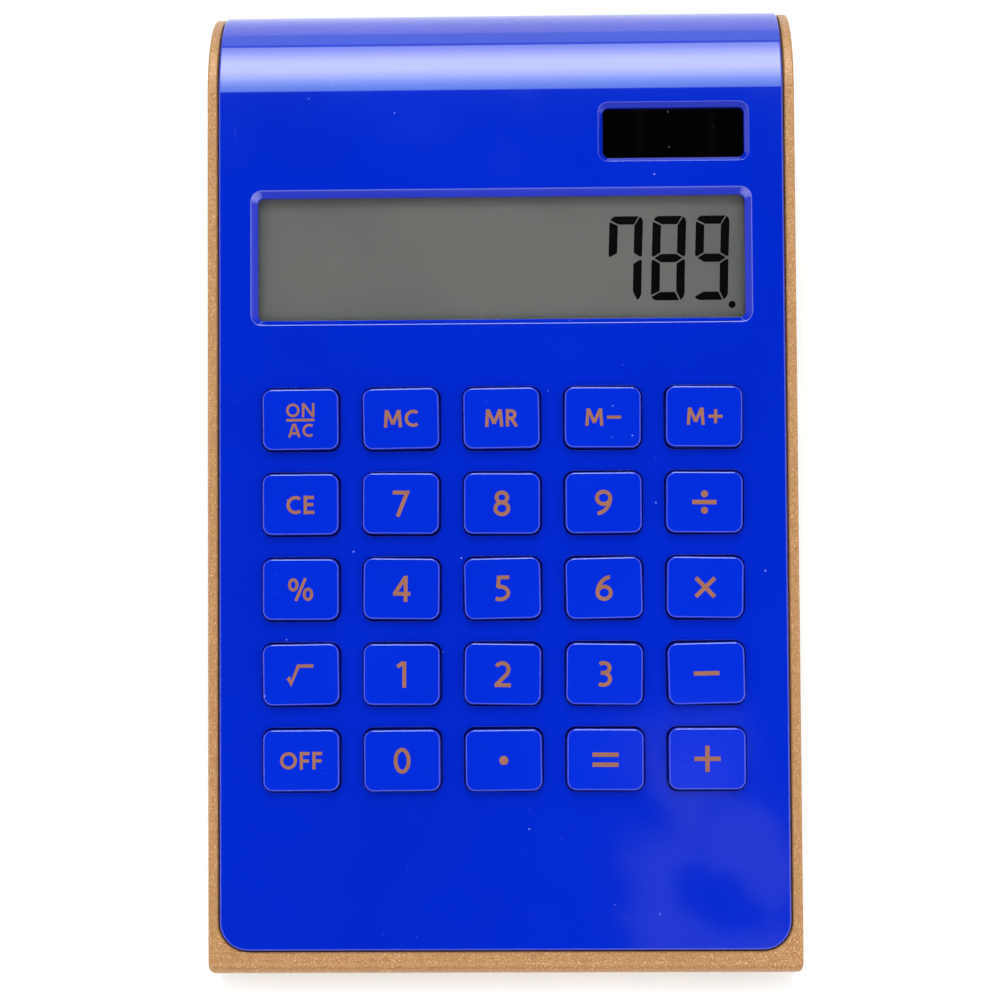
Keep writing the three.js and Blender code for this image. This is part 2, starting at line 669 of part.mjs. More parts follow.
function capacitor() {
  const x = rearScrewX - postRadius - CAPACITOR_RADIUS - 2 * SPARE;
  const z = floorTop + CAPACITOR_RADIUS + GAP;
  const frontY = holderRearY + 3;
  const leadEnd = frontY + 0.2;
  const lead = (side) => {
    const leadStart = boardRearY + GAP;
    const geometry = new THREE.CylinderGeometry(0.25, 0.25, leadEnd - leadStart, 6);
    geometry.translate(x + side * 0.9, (leadStart + leadEnd) / 2, boardUnder + BOARD_THICK / 2);
    return toSolid(geometry);
  };
  const can = new THREE.CylinderGeometry(CAPACITOR_RADIUS, CAPACITOR_RADIUS, CAPACITOR_LENGTH, 14);
  can.translate(x, frontY + CAPACITOR_LENGTH / 2, z);
  return addAll(toSolid(can), [lead(-1), lead(1)]);
}

// ---- Battery ----
function batteryCell() {
  const rim = 0.5;
  const profile = [
    [0, cellBottom],
    [CELL_RADIUS - rim, cellBottom],
    [CELL_RADIUS, cellBottom + rim],
    [CELL_RADIUS, cellTop - rim],
    [CELL_RADIUS - rim, cellTop],
    [0, cellTop],
  ];
  const lathe = new THREE.LatheGeometry(profile.map(([r, z]) => new THREE.Vector2(r, z)), 20);
  return toSolid(lathe.rotateX(Math.PI / 2)).translate([BAY_X, bayY, 0]);
}

function contactPositive() {
  const x = BAY_X + CELL_RADIUS + 0.45;
  const half = CONTACT_WIDTH / 2;
  return box(x, x + CONTACT_THICK, bayY - half, bayY + half, cellBottom + GAP, tabTop);
}

function contactNegative() {
  const z = cellTop + GAP;
  const x = BAY_X - CELL_RADIUS - 0.75;
  const half = CONTACT_WIDTH / 2;
  const leaf = box(x, BAY_X + 3, bayY - half, bayY + half, z, z + CONTACT_THICK);
  return leaf.add(box(x, x + CONTACT_THICK, bayY - half, bayY + half, z, tabTop));
}

// side is 1 for the contact at the cell's right and -1 for the one at its left.
function batteryWire(side) {
  const x = BAY_X + side * (CELL_RADIUS + 0.6);
  const outX = doorX + side * (doorSizeX / 2 + 3);
  const lane = boardUnder + BOARD_THICK / 2;
  const overBay = bayTop + WIRE_RADIUS + 0.1;
  const startY = bayY - 2.3;
  return tube([
    [x, startY, overBay],
    [(x + outX) / 2, startY, overBay],
    [outX, startY - 0.5, overBay - 1.3],
    [outX, startY - 2.5, lane + 0.5],
    [outX, boardRearY + 4, lane],
    [outX, boardRearY + GAP, lane],
  ], WIRE_RADIUS, 12);
}

function batteryDoor() {
  const shape = roundedRectangle(doorSizeX, doorSizeY, 0.8, doorX, bayY);
  const door = plate(shape, underside, underside + DOOR_THICK);
  const gripX = doorX - doorSizeX / 2 + 2;
  const grip = box(gripX, gripX + 1, bayY - 4, bayY + 4, underside - 1, underside + 0.4);
  return subtractAll(door, [
    post(doorScrewX, bayY, BOARD_SCREW_HEAD + GAP, underside - 1, underside + 1),
    post(doorScrewX, bayY, BOARD_SCREW_RADIUS + GAP, underside - 1, underside + DOOR_THICK + 1),
    grip,
  ]);
}

// ---- Screws: the head is at the low end when up is 1, at the high end when up is -1 ----
function screw(headRadius, headHeight, shankRadius, shankLength, up) {
  const head = post(0, 0, headRadius, 0, headHeight);
  const shank = post(0, 0, shankRadius, headHeight - 0.1, headHeight + shankLength, 8);
  const slotDepth = headHeight * 0.45;
  const slot = headRadius * 0.62;
  const blade = headRadius * 0.13;
  const slotX = box(-slot, slot, -blade, blade, -1, slotDepth);
  const slotY = box(-blade, blade, -slot, slot, -1, slotDepth);
  const solid = head.add(shank).subtract(slotX.add(slotY));
  return up === 1 ? solid : solid.rotate([180, 0, 0]);
}

// ---- Feet, in the world frame ----
function frontFoot(x, panelMatrix) {
  const y = FRONT_FOOT_Y * Math.cos(TILT) + panelShift;
  const block = new THREE.BoxGeometry(width * 2, width, slab * 2);
  block.translate(0, 0, underside - GAP + slab).applyMatrix4(panelMatrix);
  return post(x, y, FRONT_FOOT_RADIUS, 0, slab, 16).subtract(toSolid(block));
}

function rearFoot(x) {
  const y = rollCentreBack + ROLL_RADIUS - slab / 2 + panelShift;
  return post(x, y, REAR_FOOT_RADIUS, 0, LEG_LIFT - GAP, 16);
}

// ---- Assembly ----
function mesh(name, solid, look, place = [0, 0, 0]) {
  const piece = new THREE.Mesh(toGeometry(solid), new THREE.MeshStandardMaterial(look));
  piece.name = name;
  piece.position.set(...place);
  return piece;
}

function keyMeshes() {
  const cap = keycap();
  return KEY_NAMES.flatMap((names, row) => names.map((name, column) => (
    mesh(`key_${name}`, cap, FINISH.key, [...keyPlace(row, column), 0])
  )));
}

function screwMeshes() {
  const shoulder = postTop - POST_SHOULDER;
  const headLow = shoulder - GAP - SCREW_HEAD_HEIGHT;
  const reach = coverUnder - 0.9 - shoulder + GAP;
  const caseScrew = screw(SCREW_HEAD_RADIUS, SCREW_HEAD_HEIGHT, SCREW_RADIUS, reach, 1);
  const boardScrew = screw(BOARD_SCREW_HEAD, BOARD_SCREW_HEAD_HEIGHT, BOARD_SCREW_RADIUS, 2.2, -1);
  const doorScrew = screw(BOARD_SCREW_HEAD, 0.6, BOARD_SCREW_RADIUS, 3.4, 1);
  const boardHeadTop = boardTop + GAP + BOARD_SCREW_HEAD_HEIGHT;
  return [
    ...screwPlaces.map(([x, y], i) => mesh(`case_screw_${i + 1}`, caseScrew, FINISH.steel, [x, y, headLow])),
    ...boardScrewPlaces.map(([x, y], i) => (
      mesh(`board_screw_${i + 1}`, boardScrew, FINISH.steel, [x, y, boardHeadTop])
    )),
    mesh('battery_door_screw', doorScrew, FINISH.steel, [doorScrewX, bayY, underside + 0.1]),
  ];
}

const calculator = new THREE.Group();
const panel = new THREE.Group();
panel.rotation.x = TILT;
panel.position.set(0, panelShift, panelLift);
panel.updateMatrix();
panel.add(
  mesh('top_cover', topCover(), FINISH.cover),
  mesh('base_case', baseCase(), FINISH.gold),
  ...keyMeshes(),
  mesh('lcd_lens', lcdLens(), FINISH.clear),
  mesh('lcd_glass', lcdGlass(), FINISH.glass),
  mesh('lcd_reflector', lcdReflector(), FINISH.reflector),
  mesh('lcd_holder', lcdHolder(), FINISH.whitePlastic),
  mesh('lcd_ribbon', lcdRibbon(), FINISH.ribbon),
  mesh('solar_window', solarPlate(lensTop, LENS_THICK, LENS_LAP), FINISH.dark),
  mesh('solar_cell', solarPlate(solarCellTop, CELL_GLASS_THICK, LENS_LAP), FINISH.silicon),
  mesh('solar_wire_positive', solarWire(-1), FINISH.red),
  mesh('solar_wire_negative', solarWire(1), FINISH.black),
  mesh('key_mat', keyMat(), FINISH.silicone),
  mesh('main_board', mainBoard(), FINISH.board),
  mesh('chip_cover', chipCover(), FINISH.resin),
  mesh('capacitor', capacitor(), FINISH.sleeve),
  mesh('battery_cell', batteryCell(), FINISH.nickel),
  mesh('battery_contact_positive', contactPositive(), FINISH.nickel),
  mesh('battery_contact_negative', contactNegative(), FINISH.nickel),
  mesh('battery_wire_positive', batteryWire(1), FINISH.red),
  mesh('battery_wire_negative', batteryWire(-1), FINISH.black),
  mesh('battery_door', batteryDoor(), FINISH.gold),
  ...screwMeshes(),
);
calculator.add(
  panel,
  mesh('foot_front_left', frontFoot(-FRONT_FEET_X, panel.matrix), FINISH.rubber),
  mesh('foot_front_right', frontFoot(FRONT_FEET_X, panel.matrix), FINISH.rubber),
  mesh('foot_rear_left', rearFoot(-REAR_FEET_X), FINISH.rubber),
  mesh('foot_rear_right', rearFoot(REAR_FEET_X), FINISH.rubber),
);

export default calculator;
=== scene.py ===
"""Looks of the desk calculator: fine pieces, materials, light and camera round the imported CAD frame.

Pieces are drawn in panel millimetres: x across, s back along the panel from its front edge, h out of
the panel with 0 on the rim's top face. Behind the panel s runs on round the rear roll and down the leg.
"""
import json
import math
import random

import bmesh
import bpy
from mathutils import Euler, Matrix, Vector
from mathutils.geometry import delaunay_2d_cdt, tessellate_polygon


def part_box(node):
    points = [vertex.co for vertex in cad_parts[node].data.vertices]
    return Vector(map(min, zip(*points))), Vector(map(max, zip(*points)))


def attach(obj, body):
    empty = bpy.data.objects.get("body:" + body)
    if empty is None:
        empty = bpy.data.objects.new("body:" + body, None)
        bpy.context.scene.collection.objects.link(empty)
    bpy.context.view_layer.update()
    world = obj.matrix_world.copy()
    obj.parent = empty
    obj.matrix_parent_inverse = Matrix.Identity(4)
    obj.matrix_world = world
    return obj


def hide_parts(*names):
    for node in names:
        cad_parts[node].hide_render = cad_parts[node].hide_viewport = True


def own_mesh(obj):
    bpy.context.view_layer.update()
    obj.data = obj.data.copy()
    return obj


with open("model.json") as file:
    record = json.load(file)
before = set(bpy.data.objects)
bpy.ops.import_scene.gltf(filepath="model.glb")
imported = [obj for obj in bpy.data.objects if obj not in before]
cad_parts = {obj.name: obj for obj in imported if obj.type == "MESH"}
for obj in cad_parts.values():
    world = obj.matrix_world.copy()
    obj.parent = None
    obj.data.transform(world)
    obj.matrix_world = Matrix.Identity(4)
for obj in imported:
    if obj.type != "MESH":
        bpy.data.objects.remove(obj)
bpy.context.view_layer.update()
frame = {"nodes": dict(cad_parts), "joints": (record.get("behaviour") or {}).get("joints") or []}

MM = 0.001
RANDOM = random.Random(7)

# ---- The panel frame, read from the CAD ----
# The way the keys travel: straight into the panel.
PRESS = Vector(frame["joints"][0]["axis"])
TILT = math.atan2(PRESS.y, -PRESS.z)
UNTILT = Matrix.Rotation(-TILT, 3, "X")


def flat_box(node, origin=Vector((0, 0, 0))):
    """Lowest and highest corner of a CAD node along the panel's own axes, in millimetres."""
    points = [UNTILT @ v.co / MM - origin for v in frame["nodes"][node].data.vertices]
    low = Vector([min(p[i] for p in points) for i in range(3)])
    return low, Vector([max(p[i] for p in points) for i in range(3)])


case_low, case_high = flat_box("base_case")
ORIGIN = Vector((0, case_low.y, case_high.z))
PANEL = Matrix.Rotation(TILT, 4, "X") @ Matrix.Translation(ORIGIN * MM) @ Matrix.Scale(MM, 4)


def panel_box(node):
    return flat_box(node, ORIGIN)


def middle(node):
    low, high = panel_box(node)
    return (low + high) / 2


# ---- Sizes that the boxes don't give, in millimetres ----
ROLL_RADIUS = 17
COVER_THICK = 1.8
COVER_CORNER = 5
COVER_REAR_CORNER = 0.6
CASE_CORNER = 1
CASE_REAR_CORNER = 0.8
NOSE_TOP = 2.3
NOSE_BELOW = 2.5
FRONT_WALL = 4
SEAT_WIDTH = 1.2
FLOOR = 1.5
LIP_WALL = 2
GAP = 0.3
EDGE = 0.3  # rounding of moulded edges
FINE_EDGE = 0.12  # rounding of the holes for the keys
KEY_CORNER = 1.7
KEY_FLANGE = 0.9
KEY_FLANGE_THICK = 0.8
KEY_SHIFT = 0.07  # how far off its centre a cap may sit
KEY_YAW = 1.1  # and how far askew, in degrees
WINDOW_BEVEL_DEPTH = 0.8
# How wide the slope round each window is: at its sides, its front and its rear.
SURROUNDS = {"lcd_lens": (1.2, 0.85, 1.3), "solar_window": (0.8, 0.65, 0.9)}
WINDOW_CORNER = 1.1
LENS_LAP = 1.9
SCREW_HEAD = 1.2  # height of a case screw's head
SCREW_HOLE = 2.3
SCREW_BORE = 1.3
SCREW_GRIP = 1.6  # how far a case screw goes into its boss
THREAD_PITCH = 0.4
BOSS_RADIUS = 2.5
BORE_ROOF = 0.6  # left between a boss's bore and the cover
POST_RADIUS = 3.2
POST_SHELF = 2  # thickness that a case screw's head clamps
SMALL_BORE = 1.1  # the holes for the board screws and the door's screw
STANDOFF_RADIUS = 2.2
INK = 0.03  # height of the printed legends
MAT_THICK = 0.6
MAT_CORNER = 1.2
DOME_RADIUS = 3.4
DOME_WALL = 0.6
DOME_TIP = 2.4  # radius of a dome's top
PILL_RADIUS = 1.3
DOOR_CORNER = 0.9

# ---- Sizes worked out from the boxes ----
COVER_LOW, COVER_HIGH = panel_box("top_cover")
CASE_HIGH = panel_box("base_case")[1]
HALF = CASE_HIGH.x
DECK = CASE_HIGH.y - ROLL_RADIUS
UNDERSIDE = panel_box("battery_door")[0].z
FULL_TURN = math.pi / 2 + TILT
TURN_END = DECK + ROLL_RADIUS * FULL_TURN
ROLL_CENTRE = (PANEL @ Vector((0, DECK, -ROLL_RADIUS))).z / MM
COVER_TOP = COVER_HIGH.z
COVER_UNDER = COVER_TOP - COVER_THICK
COVER_REAR = TURN_END + ROLL_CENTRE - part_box("top_cover")[0].z / MM
CASE_REAR = TURN_END + ROLL_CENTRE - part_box("base_case")[0].z / MM
KEYS = [name for name in frame["nodes"] if name.startswith("key_") and name != "key_mat"]
KEY_TOP = panel_box(KEYS[0])[1].z
CASE_SCREWS = [name for name in frame["nodes"] if name.startswith("case_screw")]
BOARD_SCREWS = [name for name in frame["nodes"] if name.startswith("board_screw")]

CORNER_STEPS = 10
ROLL_STEPS = 56
ROWS = [DECK + (TURN_END - DECK) * i / ROLL_STEPS for i in range(ROLL_STEPS + 1)]


# ---- Outlines ----
def arc(cx, cy, rx, ry, start, end, steps=16):
    """Points on an ellipse between two angles in degrees."""
    angles = [math.radians(start + (end - start) * i / steps) for i in range(steps + 1)]
    return [(cx + rx * math.cos(a), cy + ry * math.sin(a)) for a in angles]


def rounded(size_x, size_y, corner, cx=0, cy=0, steps=CORNER_STEPS):
    x, y = size_x / 2 - corner, size_y / 2 - corner
    points = []
    for side_x, side_y, start in ((1, 1, 0), (-1, 1, 90), (-1, -1, 180), (1, -1, 270)):
        points += arc(cx + side_x * x, cy + side_y * y, corner, corner, start, start + 90, steps)
    return points


def circle(cx, cy, radius, steps=32):
    return arc(cx, cy, radius, radius, 0, 360, steps)[:-1]


def inset_plan(size, corner, centre):
    """A function that draws a rounded rectangle, inset by a distance on every side."""
    x, y = centre.x, centre.y
    return lambda inset: rounded(size.x - 2 * inset, size.y - 2 * inset, corner - inset, x, y)


def shell_outline(half, front, rear, corner, rear_corner):
    """Plan of a piece that runs the whole panel, with one point on each side at each row of the roll."""
    right = [(half, s) for s in ROWS]
    left = [(-half, s) for s in reversed(ROWS)]
    x, low, rear_x, high = half - corner, front + corner, half - rear_corner, rear - rear_corner
    return (
        arc(x, low, corner, corner, -90, 0, CORNER_STEPS)
        + right
        + arc(rear_x, high, rear_corner, rear_corner, 0, 90, CORNER_STEPS)
        + arc(-rear_x, high, rear_corner, rear_corner, 90, 180, CORNER_STEPS)
        + left
        + arc(-x, low, corner, corner, 180, 270, CORNER_STEPS)
    )


# ---- Meshes ----
class Surface:
    """A closed surface put together from rings of points at set heights."""

    def __init__(self):
        self.points = []
        self.faces = []
        self.level = set()

    def ring(self, outline, height):
        first = len(self.points)
        self.points += [Vector((x, y, height)) for x, y in outline]
        return list(range(first, len(self.points)))

    def join(self, *rings):
        for lower, upper in zip(rings, rings[1:]):
            for i in range(len(lower)):
                j = (i + 1) % len(lower)
                self.faces.append((lower[i], lower[j], upper[j], upper[i]))

    def loft(self, profile, outline):
        """Joined rings, one for each (step, height) of a profile, from the outline at that step."""
        rings = [self.ring(outline(step), height) for step, height in profile]
        self.join(*rings)
        return rings

    def turned(self, place, profile, steps=32):
        """Joined round rings, one for each (radius, height) of a profile."""
        return self.loft(profile, lambda radius: circle(place.x, place.y, radius, steps))

    def fill(self, outer, holes=()):
        loops = [outer, *holes]
        order = [i for loop in loops for i in loop]
        for triangle in tessellate_polygon([[self.points[i] for i in loop] for loop in loops]):
            self.level.add(len(self.faces))
            self.faces.append(tuple(order[i] for i in triangle))

    def fill_shell(self, ring, holes=()):
        """Closes a ring made from shell_outline: the flat part with its holes, the roll and the leg."""
        arcs = CORNER_STEPS + 1
        rows = len(ROWS)
        right = ring[arcs:arcs + rows]
        left = ring[3 * arcs + rows:3 * arcs + 2 * rows][::-1]
        self.fill(ring[:arcs] + [right[0], left[0]] + ring[3 * arcs + 2 * rows:], holes)
        strips = [(right[i], right[i + 1], left[i + 1], left[i]) for i in range(rows - 1)]
        strips.append((right[-1], *ring[arcs + rows:3 * arcs + rows], left[-1]))
        self.level.update(range(len(self.faces), len(self.faces) + len(strips)))
        self.faces += strips


def corner_normals(mesh, level, crease):
    """A normal for each face corner: faces that meet below the crease angle share it, and the big level
    faces keep their own."""
    around = [[] for _ in mesh.vertices]
    normals = [face.normal.copy() for face in mesh.polygons]
    weights = [1e6 if i in level else face.area for i, face in enumerate(mesh.polygons)]
    corners = [tuple(face.vertices) for face in mesh.polygons]
    for i, corner in enumerate(corners):
        for vertex in corner:
            around[vertex].append(i)
    limit = math.cos(math.radians(crease))
    result = []
    for i, corner in enumerate(corners):
        for vertex in corner:
            near = [j for j in around[vertex] if normals[j].dot(normals[i]) > limit]
            total = sum((normals[j] * weights[j] for j in near), Vector())
            result.append(total.normalized())
    return result


def bend(point):
    """Where a place on the unrolled shell lies in the panel frame, and how far it has turned."""
    x, s, h = point
    radius = ROLL_RADIUS + h
    turn = min(max((s - DECK) / ROLL_RADIUS, 0), FULL_TURN)
    before = min(s, DECK)
    beyond = max(s - TURN_END, 0)
    y = before + radius * math.sin(turn) - beyond * math.sin(TILT)
    z = radius * math.cos(turn) - ROLL_RADIUS - beyond * math.cos(TILT)
    return Vector((x, y, z)), turn


def add_mesh(name, surface, rolled=False, place=PANEL, crease=40):
    """Makes the object of a surface, with its vertices in metres in the frame."""
    mesh = bpy.data.meshes.new(name)
    mesh.from_pydata(surface.points, [], surface.faces)
    outward(mesh)
    normals = corner_normals(mesh, surface.level, crease)
    turn_to_frame = place.to_3x3().normalized()
    turns = [0] * len(mesh.vertices)
    for vertex in mesh.vertices:
        point = vertex.co
        if rolled:
            point, turns[vertex.index] = bend(vertex.co)
        vertex.co = place @ point
    placed = []
    for loop, normal in zip(mesh.loops, normals):
        roll = Matrix.Rotation(-turns[loop.vertex_index], 3, "X")
        placed.append(turn_to_frame @ (roll @ normal))
    mesh.polygons.foreach_set("use_smooth", [True] * len(mesh.polygons))
    mesh.normals_split_custom_set(placed)
    piece = bpy.data.objects.new(name, mesh)
    bpy.context.scene.collection.objects.link(piece)
    return piece


def outward(mesh):
    work = bmesh.new()
    work.from_mesh(mesh)
    bmesh.ops.recalc_face_normals(work, faces=work.faces)
    work.to_mesh(mesh)
    work.free()


def edge_arc(radius, steps=4):
    """(inset, drop) pairs round a quarter-circle edge, from its side to its top."""
    angles = [math.pi / 2 * i / steps for i in range(steps + 1)]
    return [(radius * (1 - math.cos(a)), radius * (1 - math.sin(a))) for a in angles]


def add_piece(name, surface, body, node, slot, look, **options):
    piece = add_mesh(name, surface, **options)
    piece.data.materials.append(look)
    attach(piece, body)
    if node:
        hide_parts(*([node] if isinstance(node, str) else node))
    return piece


# ---- Cover ----
def opening(node):
    """Centre and size of the window in the cover that a lens lies under."""
    low, high = panel_box(node)
    return (low + high) / 2, (high - low) - 2 * Vector((LENS_LAP, LENS_LAP, 0))


def aperture_rings(surface, node):
    """The hole for one keycap, from the underside to its rounded upper edge."""
    size = key_size(node) + 2 * Vector((GAP, GAP, 0))
    profile = [(0, COVER_UNDER)] + [(-inset, COVER_TOP - drop) for inset, drop in edge_arc(FINE_EDGE)]
    rings = surface.loft(profile, inset_plan(size, KEY_CORNER + GAP, middle(node)))
    return rings[0], rings[-1]


def window_rings(surface, node):
    """A window with its sloping surround, softened at both edges of the slope."""
    centre, size = opening(node)
    side, front, rear = SURROUNDS[node]
    foot = COVER_TOP - WINDOW_BEVEL_DEPTH

    def outline(share):
        wide = size.x + 2 * share * side
        long = size.y + share * (front + rear)
        corner = WINDOW_CORNER + share * front
        return rounded(wide, long, corner, centre.x, centre.y + share * (rear - front) / 2)

    profile = [
        (0, COVER_UNDER),
        (0, foot - 0.12),
        (0.04, foot - 0.03),
        (0.12, foot + 0.05),
        (0.9, COVER_TOP - 0.11),
        (1.01, COVER_TOP - 0.04),
        (1.14, COVER_TOP),
    ]
    rings = surface.loft(profile, outline)
    return rings[0], rings[-1]


def boss_ring(surface, node):
    """A screw boss under the cover; returns the ring where it leaves the underside."""
    low = panel_box(node)[1].z - SCREW_GRIP
    profile = [(BOSS_RADIUS, COVER_UNDER), (BOSS_RADIUS, low)]
    profile += [(SCREW_BORE, low), (SCREW_BORE, COVER_UNDER - BORE_ROOF)]
    rings = surface.turned(middle(node), profile)
    surface.fill(rings[-1])
    return rings[0]


def make_cover(look):
    surface = Surface()
    half, front = COVER_HIGH.x, COVER_LOW.y

    def outline(inset):
        corner, rear_corner = COVER_CORNER - inset, COVER_REAR_CORNER - inset
        return shell_outline(half - inset, front + inset, COVER_REAR - inset, corner, rear_corner)

    profile = [(0, COVER_UNDER)] + [(inset, COVER_TOP - drop) for inset, drop in edge_arc(EDGE)]
    rings = surface.loft(profile, outline)
    holes = [aperture_rings(surface, node) for node in KEYS]
    holes += [window_rings(surface, node) for node in ("lcd_lens", "solar_window")]
    bosses = [boss_ring(surface, node) for node in CASE_SCREWS]
    surface.fill_shell(rings[-1], [above for _, above in holes])
    surface.fill_shell(rings[0], [below for below, _ in holes] + bosses)
    add_piece("cover_shell", surface, "housing", "top_cover", "cover", look, rolled=True)


# ---- Case ----
def inset_at(radius, depth):
    """How far a quarter-round edge stands in at a depth below its flat face."""
    left = radius - min(depth, radius)
    return radius - math.sqrt(radius * radius - left * left)


def case_side_rings(surface):
    """The outside of the tray, from the underside round the nose and the side edges to the rim."""
    edge = 0.4
    count = 8
    steps = [1 - math.cos(math.pi / 2 * i / count) for i in range(count + 1)]
    fine = [edge * t for t in steps]
    below = sorted(fine + [NOSE_BELOW * t for t in steps if NOSE_BELOW * t > edge])
    above = sorted(fine + [NOSE_TOP * t for t in steps if NOSE_TOP * t > edge])
    profile = [(UNDERSIDE + t, NOSE_BELOW, t) for t in below]
    profile += [(-t, NOSE_TOP, t) for t in reversed(above)]
    rings = []
    for height, nose, depth in profile:
        side = inset_at(edge, depth)
        corner, rear_corner = CASE_CORNER - side / 2, CASE_REAR_CORNER - side
        front, rear = inset_at(nose, depth), CASE_REAR - side
        rings.append(surface.ring(shell_outline(HALF - side, front, rear, corner, rear_corner), height))
    surface.join(*rings)
    return rings[0], rings[-1]


def case_inside_rings(surface, rim):
    """The rim's top, the recess that carries the cover, and the cavity down to the floor."""
    seat = COVER_UNDER - GAP
    recess_half, recess_rear = COVER_HIGH.x + GAP, COVER_REAR + GAP
    cavity_half, cavity_front = COVER_HIGH.x - SEAT_WIDTH, COVER_LOW.y + SEAT_WIDTH
    corner = COVER_CORNER + GAP
    cavity_corner = corner - FLOOR
    cavity_rear = CASE_REAR - FLOOR
    lip_rear = recess_rear - 0.2
    rear_corner = 0.7
    slip = 0.05
    chamfer = 0.22
    plan = [
        (recess_half + chamfer, FRONT_WALL - chamfer, recess_rear + chamfer, corner + chamfer, 0),
        (recess_half, FRONT_WALL, recess_rear, corner, -chamfer),
        (recess_half, FRONT_WALL, recess_rear, corner, seat),
        (cavity_half, cavity_front, lip_rear, cavity_corner, seat),
        (cavity_half, cavity_front, lip_rear, cavity_corner, -LIP_WALL),
        (cavity_half - slip, cavity_front + slip, cavity_rear, cavity_corner, -LIP_WALL - slip),
        (cavity_half - slip, cavity_front + slip, cavity_rear, cavity_corner, UNDERSIDE + FLOOR),
    ]
    rings = []
    for half, front, rear, front_corner, height in plan:
        outline = shell_outline(half, front, rear, front_corner, rear_corner)
        rings.append(surface.ring(outline, height))
    first = len(surface.faces)
    surface.join(rim, rings[0])
    surface.level.update(range(first, len(surface.faces)))
    surface.join(*rings)
    return rings[-1]


def post_rings(surface, node):
    """A case screw's post with its counterbore: from the hole in the underside to the floor."""
    shoulder = panel_box(node)[0].z + SCREW_HEAD + GAP
    top = shoulder + POST_SHELF
    chamfer = 0.2
    profile = [
        (SCREW_HOLE + chamfer, UNDERSIDE),
        (SCREW_HOLE, UNDERSIDE + chamfer),
        (SCREW_HOLE, shoulder),
        (SCREW_BORE, shoulder),
        (SCREW_BORE, top),
        (POST_RADIUS, top),
        (POST_RADIUS, UNDERSIDE + FLOOR),
    ]
    rings = surface.turned(middle(node), profile)
    return rings[0], rings[-1]


def standoff_ring(surface, node):
    """A blind standoff under the board; returns the ring where it meets the floor."""
    foot = UNDERSIDE + FLOOR
    top = panel_box("main_board")[0].z - GAP
    profile = [(STANDOFF_RADIUS, foot), (STANDOFF_RADIUS, top)]
    profile += [(SMALL_BORE, top), (SMALL_BORE, foot + 0.2)]
    rings = surface.turned(middle(node), profile)
    surface.fill(rings[-1])
    return rings[0]


def battery_rings(surface):
    """The door's recess and the cell's pocket below, and their walls inside the case."""
    door_low, door_high = panel_box("battery_door")
    cell_low, cell_high = panel_box("battery_cell")
    cell = middle("battery_cell")
    screw = middle("battery_door_screw")
    wall = 1.2
    chamfer = 0.15
    pilot_depth = 2.7
    boss_radius = SMALL_BORE + wall
    size = door_high - door_low + 2 * Vector((GAP, GAP, 0))
    centre = (door_low + door_high) / 2
    radius = cell_high.x - cell.x + GAP
    ceiling = cell_low.z
    roof = cell_high.z + 0.9
    ledge = ceiling + 1.4
    wide = rounded(size.x + 2 * chamfer, size.y + 2 * chamfer, 1.2, centre.x, centre.y)
    narrow = rounded(size.x, size.y, 1, centre.x, centre.y)
    mouth = surface.ring(wide, UNDERSIDE)
    recess = [surface.ring(narrow, z) for z in (UNDERSIDE + chamfer, ceiling)]
    surface.join(mouth, *recess)
    pocket = surface.turned(cell, [(radius, ceiling), (radius, roof)], 48)
    pilot = surface.turned(screw, [(SMALL_BORE, ceiling), (SMALL_BORE, ceiling + pilot_depth)])
    surface.fill(recess[-1], [pocket[0], pilot[0]])
    surface.fill(pocket[-1])
    surface.fill(pilot[-1])
    rear = min(centre.y + size.y / 2 + wall, DECK - 0.1)
    front = centre.y - size.y / 2 - wall
    box = rounded(size.x + 2 * wall, rear - front, 1.5, centre.x, (rear + front) / 2)
    outer = [surface.ring(box, z) for z in (UNDERSIDE + FLOOR, ledge)]
    surface.join(*outer)
    bay = surface.turned(cell, [(radius + wall, ledge), (radius + wall, roof + 1)], 48)
    boss = surface.turned(screw, [(boss_radius, ledge), (boss_radius, ledge + 1.8)])
    surface.fill(outer[-1], [bay[0], boss[0]])
    surface.fill(bay[-1])
    surface.fill(boss[-1])
    return mouth, outer[0]


def make_case(look):
    surface = Surface()
    bottom, rim = case_side_rings(surface)
    floor = case_inside_rings(surface, rim)
    below, inside = battery_rings(surface)
    posts = [post_rings(surface, node) for node in CASE_SCREWS]
    standoffs = [standoff_ring(surface, node) for node in BOARD_SCREWS]
    surface.fill_shell(bottom, [below] + [low for low, _ in posts])
    surface.fill_shell(floor, [inside] + [high for _, high in posts] + standoffs)
    add_piece("case_tray", surface, "housing", "base_case", "case", look, rolled=True)


# ---- Keys ----
def key_size(node):
    low, high = panel_box(node)
    return (high - low) - 2 * Vector((KEY_FLANGE, KEY_FLANGE, 0))


def key_place(node):
    """Each cap sits a little askew in its aperture, within its clearance."""
    centre = middle(node)
    shift = Vector((RANDOM.uniform(-KEY_SHIFT, KEY_SHIFT), RANDOM.uniform(-KEY_SHIFT, KEY_SHIFT), 0))
    yaw = Matrix.Rotation(math.radians(RANDOM.uniform(-KEY_YAW, KEY_YAW)), 4, "Z")
    return PANEL @ Matrix.Translation(Vector((centre.x, centre.y, 0)) + shift) @ yaw


def make_keycap(node, place, look):
    surface = Surface()
    size = key_size(node)
    under = panel_box(node)[0].z
    flange_top = under + KEY_FLANGE_THICK

    def outline(inset):
        return rounded(size.x - 2 * inset, size.y - 2 * inset, KEY_CORNER - max(inset, 0))

    profile = [(-KEY_FLANGE, under), (-KEY_FLANGE, flange_top), (0, flange_top)]
    profile += [(inset, KEY_TOP - drop) for inset, drop in edge_arc(EDGE, 6)]
    rings = surface.loft(profile, outline)
    surface.fill(rings[0])
    surface.fill(rings[-1])
    add_piece("cap_" + node[4:], surface, node, node, "key", look, place=place)


